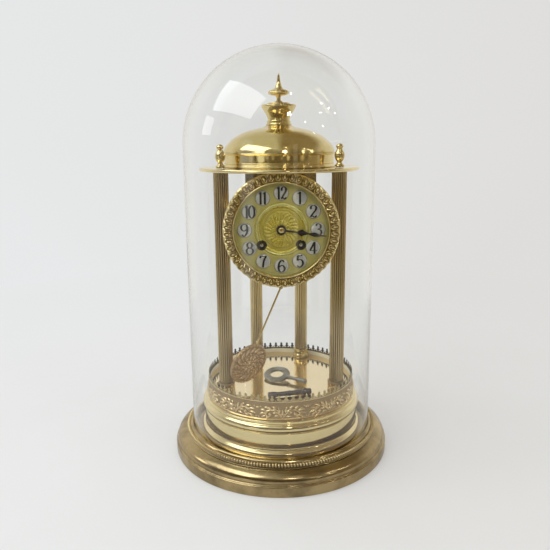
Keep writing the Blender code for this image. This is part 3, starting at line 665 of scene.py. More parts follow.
def make_gallery():
    low_z, rim_z = GALLERY_LOW.z, GALLERY_HIGH.z - CREST_H
    inner_r = PLATFORM_R + 0.5
    band_r, low_r, taper = 79.5, 80.1, 1.5
    cells, steps, rows = 20, 72, 44
    height = rim_z - low_z
    width = TAU * band_r / cells
    grid_x, grid_y = np.meshgrid((np.arange(steps) + 0.5) / steps * width,
                                 np.linspace(0, height, rows)[::-1])
    cell = swept_relief(grid_x, grid_y, scroll_cell(width, height - 2.4))
    cell = np.roll(cell, 3, axis=0)
    band = np.concatenate([cell if index % 2 else cell[:, ::-1] for index in range(cells)], axis=1)
    edge = np.minimum(grid_y[:, :1], height - grid_y[:, :1])
    band = np.maximum(band * (edge > 1.0), 0.75 * np.sqrt(np.maximum(1 - (edge / 0.9) ** 2, 0)))

    wall = [(low_r - taper * t, low_z + height * t) for t in np.linspace(1, 0, rows)]
    lift = np.concatenate([band, np.zeros((2, cells * steps))])
    verts, faces, _ = spun([*wall, (inner_r, low_z), (inner_r, rim_z)], cells * steps, True,
                           lambda theta, along, radius, level: lift)
    # Painted shade: the band's depths between the scrolls take the recess colour; the two rows of the inner
    # wall stay at full relief.
    relief = np.concatenate([band, np.ones((2, cells * steps))]).clip(0, 1)
    settle(piece("gallery_band", verts, faces, CHASED_BRASS, None, relief.reshape(-1), 60.0), "stand",
           "chased_brass", "gallery")
    # Painted light: a pale, nearly matt lining, lightened against the shade inside the gallery.
    lining = band_of(inner_r - 0.05, inner_r - 0.35, rim_z - 0.4, low_z + 1.0)
    fitted("gallery_lining", lining, LIGHTENED_LINING, "stand", "chased_brass", closed=True)
    # Painted shade: a thin near-black ring inside the gallery's rim.
    rim = band_of(inner_r - 0.1, inner_r - 0.5, rim_z + 0.1, rim_z - 0.9)
    fitted("gallery_rim", rim, SHADE_BRASS, "stand", "chased_brass", closed=True)
    crest = []
    leaf = spline([(0.8, 0.0), (0.7, 1.3), (1.9, 1.9), (2.2, 2.9), (1.2, 3.3), (0.85, 4.1), (1.35, 5.0),
                   (0.95, 6.1), (0.0, 6.55)], 3)
    point = spline([(0.9, 0.0), (0.75, 0.9), (0.4, 1.8), (0.0, 2.5)], 2)
    for index in range(2 * GALLERY_POINTS):
        half = point if index % 2 else leaf
        outline = [*half, *[(-x, y) for x, y in reversed(half[:-1])]]
        angle = TAU * (index + 1) / (2 * GALLERY_POINTS)
        turn = np.array([[-math.sin(angle), math.cos(angle)], [math.cos(angle), math.sin(angle)]])
        verts = []
        for depth, shrink in ((77.95, 0.9), (78.2, 1.0), (78.55, 1.0), (78.8, 0.9)):
            for x, y in outline:
                flat = turn[0] * x * shrink + turn[1] * depth
                verts.append((flat[0], flat[1], rim_z - 0.15 + y * (0.5 + 0.5 * shrink)))
        count = len(outline)
        faces = [tuple(range(count)), tuple(range(3 * count, 4 * count)), *quads(4, count)]
        # Painted shade: the two inner layers of each point take nearly all of the crest's near-black recess
        # colour, the two outer layers about a third.
        relief = np.repeat((0.0, 0.1, 0.55, 0.6), count)
        crest.append((np.array(verts), faces, relief))
    settle(joined("gallery_crest", crest, CREST_BRASS, sharp=30.0), "stand", "chased_brass")


# Columns and canopy


def column_centre(node):
    middle = middle_of(node)
    low, high = extent(node)
    return middle.x, middle.y, low.z, high.z


def make_columns():
    radius, groove = 7.3, 0.95

    def reeds(theta, along, reach, level):
        return -groove * np.abs(np.cos(REEDS / 2 * theta)) ** 5

    # Painted shade: the depths between the leaves take the chased brass's recess colour.
    def leaves(theta, along, reach, level):
        low_row = petals(theta, level, 9, 0.6, 8.2, 0.8, vein=0.5)
        return low_row + petals(theta + TAU / 18, level, 9, 3.4, 10.2, 0.5)

    for side in ("front_left", "front_right", "back_left", "back_right"):
        x, y, low, high = column_centre("column_shaft_" + side)
        side_line = [(radius, z) for z in np.linspace(high - 1.0, low + 1.0, 5)]
        shaft = [(0.0, high), (radius, high), (radius, high - 1.0), *side_line, (radius, low), (0.0, low)]
        verts, faces, _ = spun(shaft, REEDS * 10, height=reeds)
        # Painted shade: the floors of the reed grooves take the recess colour.
        relief = np.clip((np.hypot(verts[:, 0], verts[:, 1]) - (radius - groove)) / groove, 0, 1)
        metal_used = SHADED_FRONT_COLUMN_BRASS if side.startswith("front") else COLUMN_BRASS
        settle(piece("reeded_shaft_" + side, verts, faces, metal_used, upright(x, y), relief, 60.0), "stand",
               "column_brass", "column_shaft_" + side)
        x, y, low, high = column_centre("column_foot_" + side)
        rise = high - low
        if side.startswith("front"):
            cup = [(0.0, rise), (8.2, rise), *spline([(8.7, rise - 0.4), (8.0, 6.4), (7.9, 4.4), (8.4, 2.0),
                   (8.8, 0.3)], 8), (8.8, 0.0), (0.0, 0.0)]
            foot = turned("leafy_foot_" + side, cup, CHASED_BRASS, upright(x, y, low), 108, height=leaves,
                          sharp=60.0)
        else:
            cup = [(0.0, rise), (7.8, rise), (8.5, rise - 0.6), (8.5, rise - 1.8), (7.9, rise - 2.6),
                   (7.9, rise - 3.4), *spline([(8.1, 5.6), (8.3, 4.4), (9.2, 3.4)], 5), (9.6, 2.4),
                   (9.6, 0.0), (0.0, 0.0)]
            foot = turned("turned_foot_" + side, rounded(cup, 0.3), CANOPY_BRASS, upright(x, y, low), 72)
        settle(foot, "stand", "chased_brass", "column_foot_" + side)
        x, y, low, high = column_centre("urn_finial_" + side)
        urn = [(0.0, 22.4), *spline([(1.2, 22.2), (2.6, 21.4), (3.4, 19.9), (3.2, 18.6), (2.4, 17.8)], 5),
               (2.3, 17.2), (2.9, 16.8),
               *spline([(3.1, 16.0), (4.5, 13.6), (5.0, 11.2), (4.4, 8.2), (3.0, 5.9), (2.4, 5.1)], 5),
               (2.4, 4.2), (3.0, 3.8), (3.2, 3.0), (4.3, 2.4), (4.6, 1.6), (4.6, 0.0), (0.0, 0.0)]
        fitted("urn_" + side, rounded(urn, 0.2), CANOPY_BRASS, "stand", "polished_brass",
               "urn_finial_" + side, place=upright(x, y, low), segments=64)


def make_canopy():
    top, sheet, wall = CORNICE_TOP, 1.2, 1.6
    rim = arc(1.7, 80, -80, 12, (CORNICE_R - 1.7, top - 1.7))
    cornice = [(0.0, top), (60.0, top), (78.0, top), *rim, (78.9, top - sheet - 1.5), (78.4, top - sheet),
               (0.0, top - sheet)]
    fitted("cornice_disc", cornice, PLINTH_BRASS, "stand", "polished_brass", "cornice_plate", segments=224)
    low, high = extent("canopy_band")
    reach = 56.2
    band = [(reach - wall, high.z), (57.7, high.z), (57.9, high.z - 0.6), (57.5, high.z - 1.5),
            (reach + 0.2, high.z - 1.9), (reach, high.z - 2.6), (reach, low.z + 4.4),
            (reach + 0.35, low.z + 4.2), (reach + 0.35, low.z + 3.4), (reach, low.z + 3.2),
            (reach, low.z + 2.6), (reach + 0.5, low.z + 2.3), (reach + 0.6, low.z + 1.5),
            (57.2, low.z + 1.3), (57.4, low.z + 0.7), (57.2, low.z), (reach - wall, low.z)]
    fitted("canopy_drum", rounded(band, 0.25, 3, True), CANOPY_BRASS, "stand", "polished_brass",
           "canopy_band", segments=224, closed=True)
    low, high = extent("canopy_dome")
    outer = spline([(13.6, 344.6), (17.2, 343.2), (21.2, 342.3), (29.8, 340.3), (37.5, 337.6), (45.5, 333.2),
                    (51.6, 328.0), (55.2, 323.4), (57.0, low.z)], 6)
    inner = [(radius - wall, min(level, high.z - 1.0) - sheet) for radius, level in reversed(outer[:-1])]
    inner = [(outer[-1][0] - wall, low.z), *[point for point in inner if point[1] > low.z]]
    fitted("canopy_cap", [*outer, *inner], CANOPY_BRASS, "stand", "polished_brass", "canopy_dome",
           segments=224, closed=True)
    low, high = extent("canopy_vase")
    vase = [(0.0, high.z), (11.2, high.z), (11.5, high.z - 0.4), (11.5, high.z - 1.2), (12.6, high.z - 1.6),
            (17.2, high.z - 1.8), (17.5, high.z - 2.3), (17.5, high.z - 3.3),
            *spline([(17.0, high.z - 4.2), (15.4, 359.6), (13.6, 356.8), (12.0, 353.6), (11.1, 351.0),
                     (11.3, 349.6)], 6), (12.0, 349.2), (12.0, 347.2), (12.4, 346.4), (13.0, 346.0),
            (13.0, low.z), (0.0, low.z)]
    fitted("canopy_vase_turning", rounded(vase, 0.25), CANOPY_BRASS, "stand", "polished_brass",
           "canopy_vase", segments=128)
    low, high = extent("spire_finial")
    spire = [(0.0, high.z), (0.7, high.z - 0.3), (1.0, high.z - 1.2),
             *spline([(1.2, high.z - 2.4), (1.9, 387.6), (2.9, 383.6), (3.9, 381.2), (5.6, 380.2)], 5),
             *spline([(6.4, 379.7), (9.2, 378.5), (10.7, 376.9), (10.1, 375.3), (7.4, 374.0), (3.6, 373.2)],
                     5), (2.4, 372.6), (2.2, 371.4), (2.3, 369.2), (3.1, 368.6), (4.2, 368.3), (4.2, low.z),
             (0.0, low.z)]

    def gadroons(theta, along, radius, level):
        swell = np.exp(-((level - 377.0) / 2.2) ** 2) * np.clip((radius - 4.0) / 5.0, 0, 1)
        return -0.3 * np.abs(np.cos(8 * theta)) ** 4 * swell

    fitted("spire_turning", rounded(spire, 0.2), CANOPY_BRASS, "stand", "polished_brass", "spire_finial",
           segments=168, height=gadroons)


# Dial


# Pen strokes of the numerals, in hundredths of their height; one that ends where it starts is a loop
DIGITS = {"0": [[(31, 100), (57, 78), (61, 50), (57, 22), (31, 0), (5, 22), (1, 50), (5, 78), (31, 100)]],
          "1": [[(33, 100), (33, 50), (33, 0)], [(33, 97), (22, 88), (10, 85)]],
          "2": [[(10, 68), (10, 88), (30, 100), (53, 88), (52, 64), (30, 36), (6, 5)],
                [(4, 6), (24, 12), (42, 2), (60, 16)]],
          "3": [[(10, 82), (28, 100), (51, 87), (48, 63), (24, 54)],
                [(24, 54), (54, 44), (58, 18), (34, 0), (10, 8), (8, 24)]],
          "4": [[(43, 0), (43, 50), (43, 100)], [(43, 100), (22, 60), (4, 28)],
                [(0, 27), (30, 27), (64, 27)]],
          "5": [[(14, 97), (34, 93), (54, 100)], [(14, 97), (13, 75), (10, 54)],
                [(10, 54), (34, 64), (57, 46), (56, 18), (32, 0), (8, 12)]],
          "6": [[(52, 84), (34, 100), (10, 72), (4, 36), (12, 8), (32, 0), (54, 12), (57, 36), (36, 56),
                 (10, 42)]],
          "7": [[(4, 78), (8, 94), (30, 94), (58, 96)], [(58, 96), (36, 56), (27, 0)]],
          "8": [[(31, 100), (50, 88), (50, 66), (31, 54), (12, 66), (12, 88), (31, 100)],
                [(31, 54), (56, 40), (56, 14), (31, 0), (6, 14), (6, 40), (31, 54)]]}
DIGITS["9"] = [[(61 - x, 100 - y) for x, y in stroke] for stroke in DIGITS["6"]]


def pen_stroke(path, closed, thick, thin, low, high):
    """A flat ribbon that is broad where the pen runs up and down and fine where it runs across."""
    line = np.array(spline(path, 7, closed))
    step = np.roll(line, -1, 0) - np.roll(line, 1, 0) if closed else np.gradient(line, axis=0)
    step /= np.maximum(np.linalg.norm(step, axis=1, keepdims=True), 1e-9)
    width = (thin + (thick - thin) * np.abs(step[:, 1:]) ** 1.5) / 2
    side = np.stack([-step[:, 1], step[:, 0]], 1) * width
    left, right = line + side, line - side
    count = len(line)
    verts = [(*point, level) for edge, level in ((left, high), (right, high), (left, low), (right, low))
             for point in edge]
    faces = []
    for index in range(count if closed else count - 1):
        after = (index + 1) % count
        faces.append((index, after, count + after, count + index))
        faces.append((2 * count + index, 3 * count + index, 3 * count + after, 2 * count + after))
        faces.append((index, 2 * count + index, 2 * count + after, after))
        faces.append((count + index, count + after, 3 * count + after, 3 * count + index))
    if not closed:
        for end in (0, count - 1):
            faces.append((end, count + end, 3 * count + end, 2 * count + end))
    return np.array(verts), faces, np.ones(len(verts))


def make_numeral(hour, place, surface):
    text = str(hour)
    height = 11.4
    wide = 6.6 if len(text) == 1 else 5.2
    pitch = 3.9 if text == "11" else 4.7
    strokes = []
    for index, digit in enumerate(text):
        shift = (index - (len(text) - 1) / 2) * pitch
        for stroke in DIGITS[digit]:
            path = [((x - 31) * wide / 62 + shift, (y - 50) / 100 * height) for x, y in stroke]
            loop = path[0] == path[-1]
            strokes.append(pen_stroke(path[:-1] if loop else path, loop, 1.95, 0.6, surface, surface + 0.18))
    settle(joined(f"numeral_{hour:02d}", strokes, BLACK_PRINT_AND_SHADE, place, 30.0), "stand", "enamel")


def make_dial():
    back, face = -DIAL_HIGH.y, DIAL_FACE

    def struck(theta, along, radius, level):
        # Painted highlight and shade: the ring moulding keeps the bright gilt, the flat face takes about two
        # thirds of the recess colour, and the grooves at 20.2 and 25.0 take all of it.
        lift = 0.35 + 0.18 * (np.abs(radius - 43.2) < 0.35) + 0.12 * (np.abs(radius - 41.4) < 0.25)
        for middle, width, rise in ((21.6, 0.6, 0.9), (23.5, 0.5, 0.6), (20.2, 0.5, -0.3),
                                    (25.0, 0.5, -0.3)):
            lift = lift + rise * np.exp(-((radius - middle) / width) ** 2)
        return np.where(level > face - 0.45, lift, 0)

    front = [(radius, face - 0.35) for radius in np.linspace(3.6, DIAL_R - 0.6, 110)]
    profile = [(3.6, back), (3.6, face - 0.5), *front, (DIAL_R, face - 0.6), (DIAL_R, back)]
    dial = turned("dial_face", profile, GILT, facing_front(), 256, True, struck, 40.0)
    drills = []
    for side, node_name in ((-1, "strike_barrel"), (1, "going_barrel")):
        x, _, z = middle_of(node_name)
        drill = [(0.0, face + 2), (4.2, face + 2), (4.2, back - 2), (0.0, back - 2)]
        drills.append(turned("drill_" + node_name, drill, BLACK_PRINT_AND_SHADE, facing_front(x, z), 64))
        # Painted shade: a black well and a black lip stand for the darkness inside each winding hole.
        well = band_of(4.1, 1.85, face - 0.9, face - 3.0)
        mouth = [(4.0, face - 0.6), *arc(0.45, 170, 10, 7, (4.45, face + 0.2)), (4.9, face + 0.05),
                 (4.25, face - 0.6)]
        for label, line in (("winding_well_", well), ("winding_mouth_", mouth)):
            fitted(label + node_name, line, BLACK_PRINT_AND_SHADE, "stand", "gilt_dial", place=facing_front(x, z),
                   segments=48, closed=True)
        square = rounded([(1.2, 1.2), (-1.2, 1.2), (-1.2, -1.2), (1.2, -1.2)], 0.35, 3, True)
        settle(extruded("winding_square_" + node_name, square, 62.4, face - 0.2, BRIGHT_STEEL,
                        facing_front(x, z, 20 * side), bevel=0.25), node_name, "steel")
    cut_away(dial, *drills)
    settle(dial, "stand", "gilt_dial", "dial_plate")

    # Painted shade: the rosette's ground between the petals takes the gilt's recess colour.
    def flower(theta, along, radius, level):
        lift = petals(theta, radius, 12, 4.6, 8.4, 0.55, 0.08, 0.8)
        lift = np.maximum(lift, petals(theta, radius, 24, 9.0, 15.8, 0.65, 0.16, 0.72, 0.35))
        lift = np.maximum(lift, 0.5 * np.exp(-((radius - 8.8) / 0.3) ** 2))
        return np.where(level > face + 0.4, lift, 0)

    front = face + 0.3
    rings = [(radius, front + 0.5) for radius in np.linspace(3.8, 16.4, 60)]
    profile = [(3.7, front), *rings, (17.2, front + 0.25), (17.3, front)]
    fitted("dial_flower", profile, GILT, "stand", "gilt_dial", "dial_rosette", place=facing_front(),
           segments=360, closed=True, height=flower, sharp=60.0)
    for hour in range(1, HOURS + 1):
        name = f"hour_cartouche_{hour:02d}"
        x, _, z = middle_of(name)
        cell = [(0.0, front + 0.95), (3.0, front + 0.92), (5.6, front + 0.82), (6.2, front + 0.66),
                (6.35, front + 0.5), (6.6, front + 0.5), (6.9, front + 0.62), (7.1, front + 0.35),
                (7.1, front), (0.0, front)]
        verts, faces, _ = spun(rounded(cell, 0.2), 64)
        relief = np.where(np.hypot(verts[:, 0], verts[:, 1]) > 6.3, 0.0, 1.0)
        settle(piece(f"cartouche_{hour:02d}", verts, faces, ENAMEL, facing_front(x, z), relief), "stand",
               "enamel", name)
        make_numeral(hour, facing_front(x, z), front + 0.9)


def make_bezel():
    cells, steps, rows = 48, 16, 22
    crown_points = arc(3.5, 158, 22, rows, (49.7, 70.6))
    width = TAU * 50.0 / cells
    span = 7.6
    grid_x, grid_y = np.meshgrid((np.arange(steps) + 0.5) / steps * width - width / 2,
                                 np.linspace(0, span, rows))
    egg = [(((0, 2.2), (0, 3.8), (0, 5.4)), 1.15, 1.0)]
    for side in (-1, 1):
        egg.append((((0, 7.3), (side * 3.0, 6.6), (side * 2.35, 3.6)), 0.62, 1.4))
        egg.append((((side * 2.35, 4.2), (side * 2.2, 1.0), (0, 0.5)), 0.62, 1.4))
        egg.append((((side * width / 2, 5.4), (side * width / 2, 6.2), (side * width / 2, 7.0)), 0.5, 1.0))
    band = np.tile(swept_relief(grid_x, grid_y, egg), (1, cells))

    lead = rounded([(43.7, 71.0), (43.7, 73.2), (44.2, 73.9), (45.0, 73.6), (45.7, 72.4), (46.2, 71.9)], 0.3)
    tail = rounded([(53.2, 71.2), (53.6, 70.9), (54.2, 70.4), (54.2, 63.3), (46.9, 63.3), (46.9, 71.0),
                    (46.0, 71.0)], 0.3)
    crown = slice(len(lead), len(lead) + rows)

    def raised(theta, along, radius, level):
        lift = np.zeros_like(theta)
        lift[crown] = band
        return lift

    profile = [*lead, *crown_points, *tail]
    # Painted shade: the depths between the eggs and darts take the bezel's recess colour; the plain
    # mouldings are held at full relief.
    verts, faces, relief = spun(profile, cells * steps, True, raised)
    relief = relief.reshape(len(profile), -1)
    relief[:crown.start] = 1.0
    relief[crown.stop:] = 1.0
    settle(piece("bezel_ring", verts, faces, BEZEL_BRASS, facing_front(), relief.reshape(-1), 60.0), "bezel",
           "chased_brass", "front_bezel")
    sag = [(radius, 70.7 + 1.5 * (1 - (radius / 46.4) ** 2)) for radius in np.linspace(0, 46.4, 16)]
    crystal = [*sag, *[(radius, level - 1.3) for radius, level in reversed(sag)]]
    fitted("bezel_crystal", crystal, CRYSTAL, "bezel", "glass", "bezel_glass", place=facing_front(),
           segments=128)


def make_hands():
    def half_hand(stem, start, leaf_at, leaf_w, leaf_half, tip):
        right = [(stem, start), (stem * 0.8, leaf_at - leaf_half),
                 *spline([(stem * 1.1, leaf_at - leaf_half + 0.5), (leaf_w, leaf_at - 0.8),
                          (leaf_w * 0.72, leaf_at + 1.2), (stem * 0.9, leaf_at + leaf_half)], 5),
                 (stem * 0.35, tip)]
        return [*right, *[(-x, y) for x, y in reversed(right)]]

    hands = (("hour", 26.4, 1.0, 19.6, 3.2, 5.0, 4.6, 67.8, 68.3, 2.6),
             ("minute", 42.3, 0.85, 32.0, 2.1, 6.0, 4.0, 68.5, 68.9, 2.2))
    for label, tip, stem, leaf_at, leaf_w, leaf_half, boss, low, high, bore in hands:
        start = math.sqrt(boss ** 2 - stem ** 2) * 0.99
        aim = math.degrees(math.asin(stem / boss))
        ring = arc(boss, 90 + aim + 4, 450 - aim - 4, 40)
        outline = [*ring, *half_hand(stem, start, leaf_at, leaf_w, leaf_half, tip)]
        hole = arc(bore, 0, 350, 36)
        pointer = extruded(label + "_pointer", outline, low, high, BLUED, facing_front(turn=HAND_ANGLE),
                           [hole], 0.08)
        settle(pointer, label + "_hand", "blued_steel", label + "_hand")
    nut = [(0.0, 70.3), *arc(1.6, 80, 12, 8, (1.2, 68.6)), (2.9, 68.95), (1.3, 68.95), (0.0, 68.95)]
    fitted("hand_nut", nut, PLINTH_BRASS, "minute_hand", "polished_brass", place=facing_front(), segments=48)


# Drum, movement and back


def make_drum():
    front, back = -DRUM_LOW.y, -DRUM_HIGH.y
    inner = DRUM_R - 1.2
    shell = [(inner, front), (DRUM_R, front), (DRUM_R, back + 3.6), (DRUM_R - 0.25, back + 3.4),
             (DRUM_R - 0.25, back + 3.0), (DRUM_R, back + 2.8), (DRUM_R, back), (inner, back)]
    drum = turned("drum_shell", rounded(shell, 0.2, 3, True), CANOPY_BRASS, facing_front(), 192, True)
    middle = middle_of("suspension_rod").y
    slot = piece("slot_cutter", [(x, y, z) for x in (-7.5, 7.5) for y in (middle - 5, middle + 5) for z in
                                 (DRUM_LOW.z - 3, DRUM_LOW.z + 6)],
                 [(0, 1, 3, 2), (4, 6, 7, 5), (0, 4, 5, 1), (2, 3, 7, 6), (0, 2, 6, 4), (1, 5, 7, 3)], BLACK_PRINT_AND_SHADE)
    cut_away(drum, slot)
    settle(drum, "stand", "polished_brass", "drum_case")
    low, high = extent("back_cover")
    rear = -high.y

    lid = [(0.0, rear), (8.0, rear + 0.1),
           *spline([(20.0, rear + 0.35), (36.0, rear + 0.7), (40.6, rear + 0.9)], 4), (41.2, rear + 0.5),
           (42.4, rear + 0.6), (43.0, rear + 1.2), (44.4, rear + 1.6), (45.4, rear + 2.1),
           (45.5, -low.y - 0.4), (45.3, -low.y), (0.0, -low.y)]
    fitted("back_door", rounded(lid, 0.25)[::-1], CANOPY_BRASS, "back_cover", "polished_brass", "back_cover",
           place=facing_front(), segments=160)
    knob = [(0.0, rear - 3.6), *arc(2.4, -80, 60, 9, (0.4, rear - 1.4)), (1.2, rear + 0.6),
            (1.2, rear + 1.2), (0.0, rear + 1.2)]
    fitted("back_door_knob", knob[::-1], CANOPY_BRASS, "back_cover", "polished_brass",
           place=facing_front(x=36.0), segments=40)
    frame["nodes"]["drum_hanger"].data.materials[0] = BASE_BRASS


def make_movement():
    for name in ("front_plate", "back_plate", "going_barrel", "strike_barrel", "escape_wheel", "hour_wheel",
                 "minute_wheel"):
        frame["nodes"][name].data.materials[0] = CANOPY_BRASS
    for name in ("centre_arbor", "pallet_anchor", "bell_hammer", "suspension_rod"):
        frame["nodes"][name].data.materials[0] = STEEL
    frame["nodes"]["bell"].data.materials[0] = BELL_METAL


def make_pendulum():
    centre = middle_of("pendulum_bob")
    hook = Vector(next(joint["pos_m"] for joint in frame["joints"]
                       if joint["name"] == "pendulum_swing")) / MM
    hang = centre - hook
    length = math.hypot(hang.x, hang.z)
    lean = math.atan2(-hang.x, -hang.z)
    swing = shifted(*hook) @ Matrix.Rotation(lean, 4, "Y")

    # Painted shade: the stamping's depths take the bob brass's recess colour.
    def stamped(theta, along, radius, level):
        shapes = [1.1 * np.sqrt(np.clip(1 - (radius / 2.4) ** 2, 0, 1)),
                  0.8 * np.exp(-((radius - 3.7) / 0.45) ** 2),
                  petals(theta, radius, 10, 4.8, 9.8, 0.95, 0.1, 0.75, 0.3),
                  petals(theta, radius, 20, 10.2, 12.2, 0.8, 0, 0.6),
                  petals(theta, radius, 16, 12.6, 19.4, 0.95, 0.3, 0.75, 0.55),
                  petals(theta, radius, 32, 19.8, 22.3, 0.6, 0, 0.8)]
        return np.where(level > 0.3, np.max(shapes, axis=0), 0)

    face = [(radius, 1.9 + 0.5 * math.cos(radius / 22.6 * math.pi / 2))
            for radius in np.linspace(0, 22.2, 90)]
    profile = [*face, (22.5, 1.2), (22.6, 0.2), (22.4, -0.6), (20.0, -1.6), (8.0, -2.0), (0.0, -2.0)]
    place = swing @ shifted(0, 0, -length) @ about("Z", BOB_TWIST) @ about("X", 90)
    fitted("stamped_bob", profile, BOB_BRASS, "pendulum", "chased_brass", "pendulum_bob", place=place,
           segments=360, height=stamped, sharp=60.0)
    rod_low = -length + 20.0
    rod = [(0.0, -2.0), (1.0, -2.2), (1.0, rod_low + 6), (1.5, rod_low + 5.4), (1.5, rod_low + 3),
           (1.0, rod_low + 2), (1.0, rod_low), (0.0, rod_low)]
    stem = spun(rounded(rod, 0.2), 24)
    tube, faces, relief = spun(arc(0.6, 0, 324, 10, (1.75, 0.0)), 40, True)
    eye = (tube[:, (1, 2, 0)], faces, relief)
    settle(joined("pendulum_wire", [stem, eye], CANOPY_BRASS, swing, 40.0), "pendulum", "polished_brass",
           "pendulum_rod")


# Keys


def make_keys():
    centre = (*KEY_CENTRE, PLATFORM_HIGH.z + KEY_AXIS_H)
    place = shifted(*centre) @ about("Z", KEY_YAW) @ about("X", KEY_ROLL)
    outer = [(x * 1.1, y) for x, y in arc(13.3, 0, 354, 60)]
    hole = [(x * 1.15, y) for x, y in arc(6.6, 0, 353, 50)]
    settle(extruded("key_bow", outer, -1.15, 1.15, STEEL, place, [hole], 0.45), "winding_key", "steel",
           "winding_key")
    stem = [(0.0, 37.4), (1.5, 37.4), (2.35, 36.8), (2.35, 27.0), (1.9, 26.2), (1.9, 17.0), (2.4, 16.4),
            (2.5, 14.8), (2.2, 13.4), (0.0, 13.2)]
    along = about("Y", 90)
    fitted("key_stem", rounded(stem, 0.25), STEEL, "winding_key", "steel", place=place @ along, segments=40)
    half = 22.5
    bar = [(0.0, half - 3), (1.5, half - 3), (1.6, half - 0.2), (2.0, half), (2.9, half - 0.2),
           (3.1, half - 1.0), (3.1, half - 7.0), (2.6, half - 8.6), (2.4, half - 9.4), (2.4, 2.0),
           (2.8, 1.0), (2.8, -1.0), (2.4, -2.0), (2.4, 9.4 - half), (2.6, 8.6 - half), (3.1, 7.0 - half),
           (3.1, 1.0 - half), (2.6, -half), (0.0, -half)]
    lie = shifted(*middle_of("double_ended_key")) @ about("Z", SMALL_KEY_YAW) @ along
    fitted("key_bar", rounded(bar, 0.2), DARK_STEEL, "small_key", "steel", "double_ended_key", place=lie,
           segments=48)


# Studio: floor, surroundings, lights and camera


def strip(across, ahead, azimuth, half_width):
    """1 in an upright strip of the room, at an azimuth from the camera's side towards +X."""
    a = math.radians(azimuth)
    toward = (math.sin(a), -math.cos(a), 0.0)
    aim = node(across.id_data, "ShaderNodeVectorMath", {0: joined_axes(across, ahead), 1: toward},
               operation="DOT_PRODUCT").outputs["Value"]
    return ranged(aim, math.cos(math.radians(half_width)), math.cos(math.radians(half_width * 0.6)))


def walls(across, ahead):
    """What polished metal sees: daylight at the left, a dark warm room in front, white walls behind."""
    front = blended(ranged(across, -1.0, -0.7), (0.34, 0.34, 0.35), (0.13, 0.10, 0.05))
    front = blended(ranged(across, 0.6, 1.0), front, (0.32, 0.26, 0.17))
    for azimuth, half_width, colour in ROOM_STRIPS:
        front = blended(strip(across, ahead, azimuth, half_width), front, colour)
    return blended(ranged(ahead, -0.15, 0.5), front, (0.80, 0.78, 0.74))


def room(across, ahead, up):
    """The walls, with a ceiling over them."""
    ceiling = blended(ranged(across, -0.06, 0.08), (0.60, 0.60, 0.52), (0.25, 0.19, 0.10))
    return blended(ranged(up, 0.5, 0.72), walls(across, ahead), ceiling)


def backdrop(across):
    return blended(ranged(across, -0.5, 0.5), (0.80, 0.815, 0.82), (0.735, 0.725, 0.71))


def seen_in_metal(tree):
    """1 on rays that have bounced off something shiny."""
    return calculated("GREATER_THAN", node(tree, "ShaderNodeLightPath").outputs["Glossy Depth"], 0.5)


def surroundings():
    """World light: pale to the eye and to matt surfaces, the room in reflections."""
    world = bpy.data.worlds.new("studio")
    bpy.context.scene.world = world
    world.use_nodes = True
    tree = world.node_tree
    tree.nodes.clear()
    way = node(tree, "ShaderNodeTexCoord").outputs["Generated"]
    parts = node(tree, "ShaderNodeSeparateXYZ", {"Vector": way}).outputs
    colour = blended(seen_in_metal(tree), backdrop(parts["X"]),
                     room(parts["X"], parts["Y"], parts["Z"]))
    sky = node(tree, "ShaderNodeBackground", {"Color": colour, "Strength": 1.0})
    node(tree, "ShaderNodeOutputWorld", {"Surface": sky.outputs[0]})


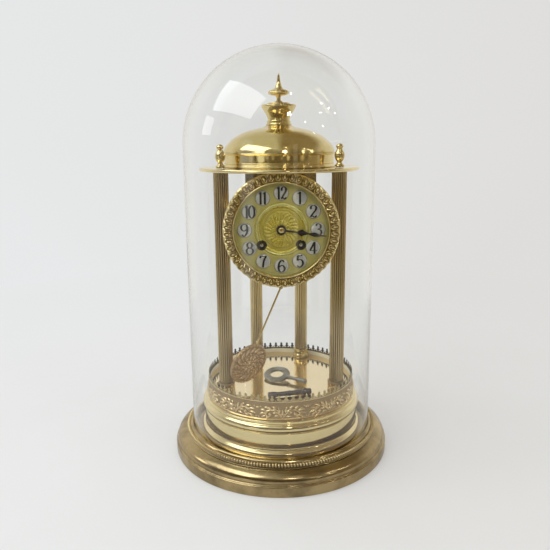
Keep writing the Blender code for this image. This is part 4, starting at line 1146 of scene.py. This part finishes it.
def make_floor():
    """A pale table top that fades into the backdrop, or into the room when seen in polished metal."""
    material, shader, place = start_material("pale_floor")
    tree = material.node_tree
    grain = noise(place, 3.0, 4.0)
    colour = blended(ranged(grain, 0.3, 0.7), (0.78, 0.775, 0.765), (0.75, 0.74, 0.725))
    fill(shader, {"Base Color": colour, "Roughness": 0.8, "Specular IOR Level": 0.2})
    parts = node(tree, "ShaderNodeSeparateXYZ", {"Vector": place}).outputs
    reach = length_of(place)
    across = calculated("DIVIDE", parts["X"], reach)
    ahead = calculated("DIVIDE", parts["Y"], reach)
    # Painted light: the floor glows with the backdrop colour, lighter and bluer towards -X, for 30% of its
    # look near the clock and fully from 1 m out; to rays off polished metal it turns into the glowing room
    # walls between 0.55 m and 0.75 m out.
    pale = node(tree, "ShaderNodeEmission", {"Color": backdrop(across)})
    table = node(tree, "ShaderNodeMixShader", {0: ranged(reach, 0.1, 1.0, 0.3, 1.0), 1: shader.outputs[0],
                                               2: pale.outputs[0]})
    beyond = node(tree, "ShaderNodeEmission", {"Color": walls(across, ahead)})
    edge = calculated("MULTIPLY", seen_in_metal(tree), ranged(reach, 0.55, 0.75))
    mixed = node(tree, "ShaderNodeMixShader", {0: edge, 1: table.outputs[0], 2: beyond.outputs[0]})
    fill(tree.nodes["Material Output"], {"Surface": mixed.outputs[0]})
    rings = [(0.0, -0.3), (200.0, -0.3), (600.0, -0.3), (3000.0, -0.3), (60000.0, -0.3)]
    turned("floor", rings, material, segments=64)


def softbox(name, azimuth, elevation, distance, size, power, colour, aim=(0, 0, 200)):
    """A rectangular lamp; azimuth is measured from the camera's side towards +X."""
    a, e = math.radians(azimuth), math.radians(elevation)
    way = Vector((math.sin(a) * math.cos(e), -math.cos(a) * math.cos(e), math.sin(e)))
    lamp = bpy.data.lights.new(name, "AREA")
    lamp.shape = "RECTANGLE"
    lamp.size, lamp.size_y = size
    lamp.energy = power
    lamp.color = colour
    holder = bpy.data.objects.new(name, lamp)
    bpy.context.scene.collection.objects.link(holder)
    holder.location = mm(*aim) + way * distance
    holder.rotation_euler = (-way).to_track_quat("-Z", "Y").to_euler()
    return holder


def make_lights():
    softbox("window_upper", -65, 48, 1.9, (1.8, 0.95), 13.0, (0.95, 0.975, 1.0))
    lower = softbox("window_lower", -92, 19, 2.0, (0.5, 0.5), 2.4, (1.0, 0.98, 0.95))
    lower.visible_transmission = False
    softbox("lamp_front", 11, 37, 1.8, (0.12, 0.12), 2.2, (1.0, 0.97, 0.9))
    bulbs = ((60, 42), (67, 36), (52, 34), (73, 30), (30, 27), (51, 21), (38, 15), (20, 58))
    for index, (azimuth, elevation) in enumerate(bulbs):
        softbox(f"bulb_{index}", azimuth, elevation, 3.0, (0.07, 0.07), 0.9, (1.0, 0.98, 0.94))


def make_camera():
    camera = bpy.data.cameras.new("camera")
    camera.lens = LENS
    camera.sensor_width = 36.0
    camera.clip_start = 0.01
    holder = bpy.data.objects.new("camera", camera)
    bpy.context.scene.collection.objects.link(holder)
    turn = about("Z", CAMERA_YAW) @ about("X", CAMERA_PITCH) @ about("Z", CAMERA_ROLL)
    holder.matrix_world = shifted(*CAMERA_PLACE) @ turn
    bpy.context.scene.camera = holder


make_base()
make_glass_dome()
make_plinth()
make_gallery()
make_columns()
make_canopy()
make_dial()
make_bezel()
make_hands()
make_drum()
make_movement()
make_pendulum()
make_keys()
surroundings()
make_floor()
make_lights()
make_camera()
bpy.context.scene.view_settings.view_transform = "Standard"
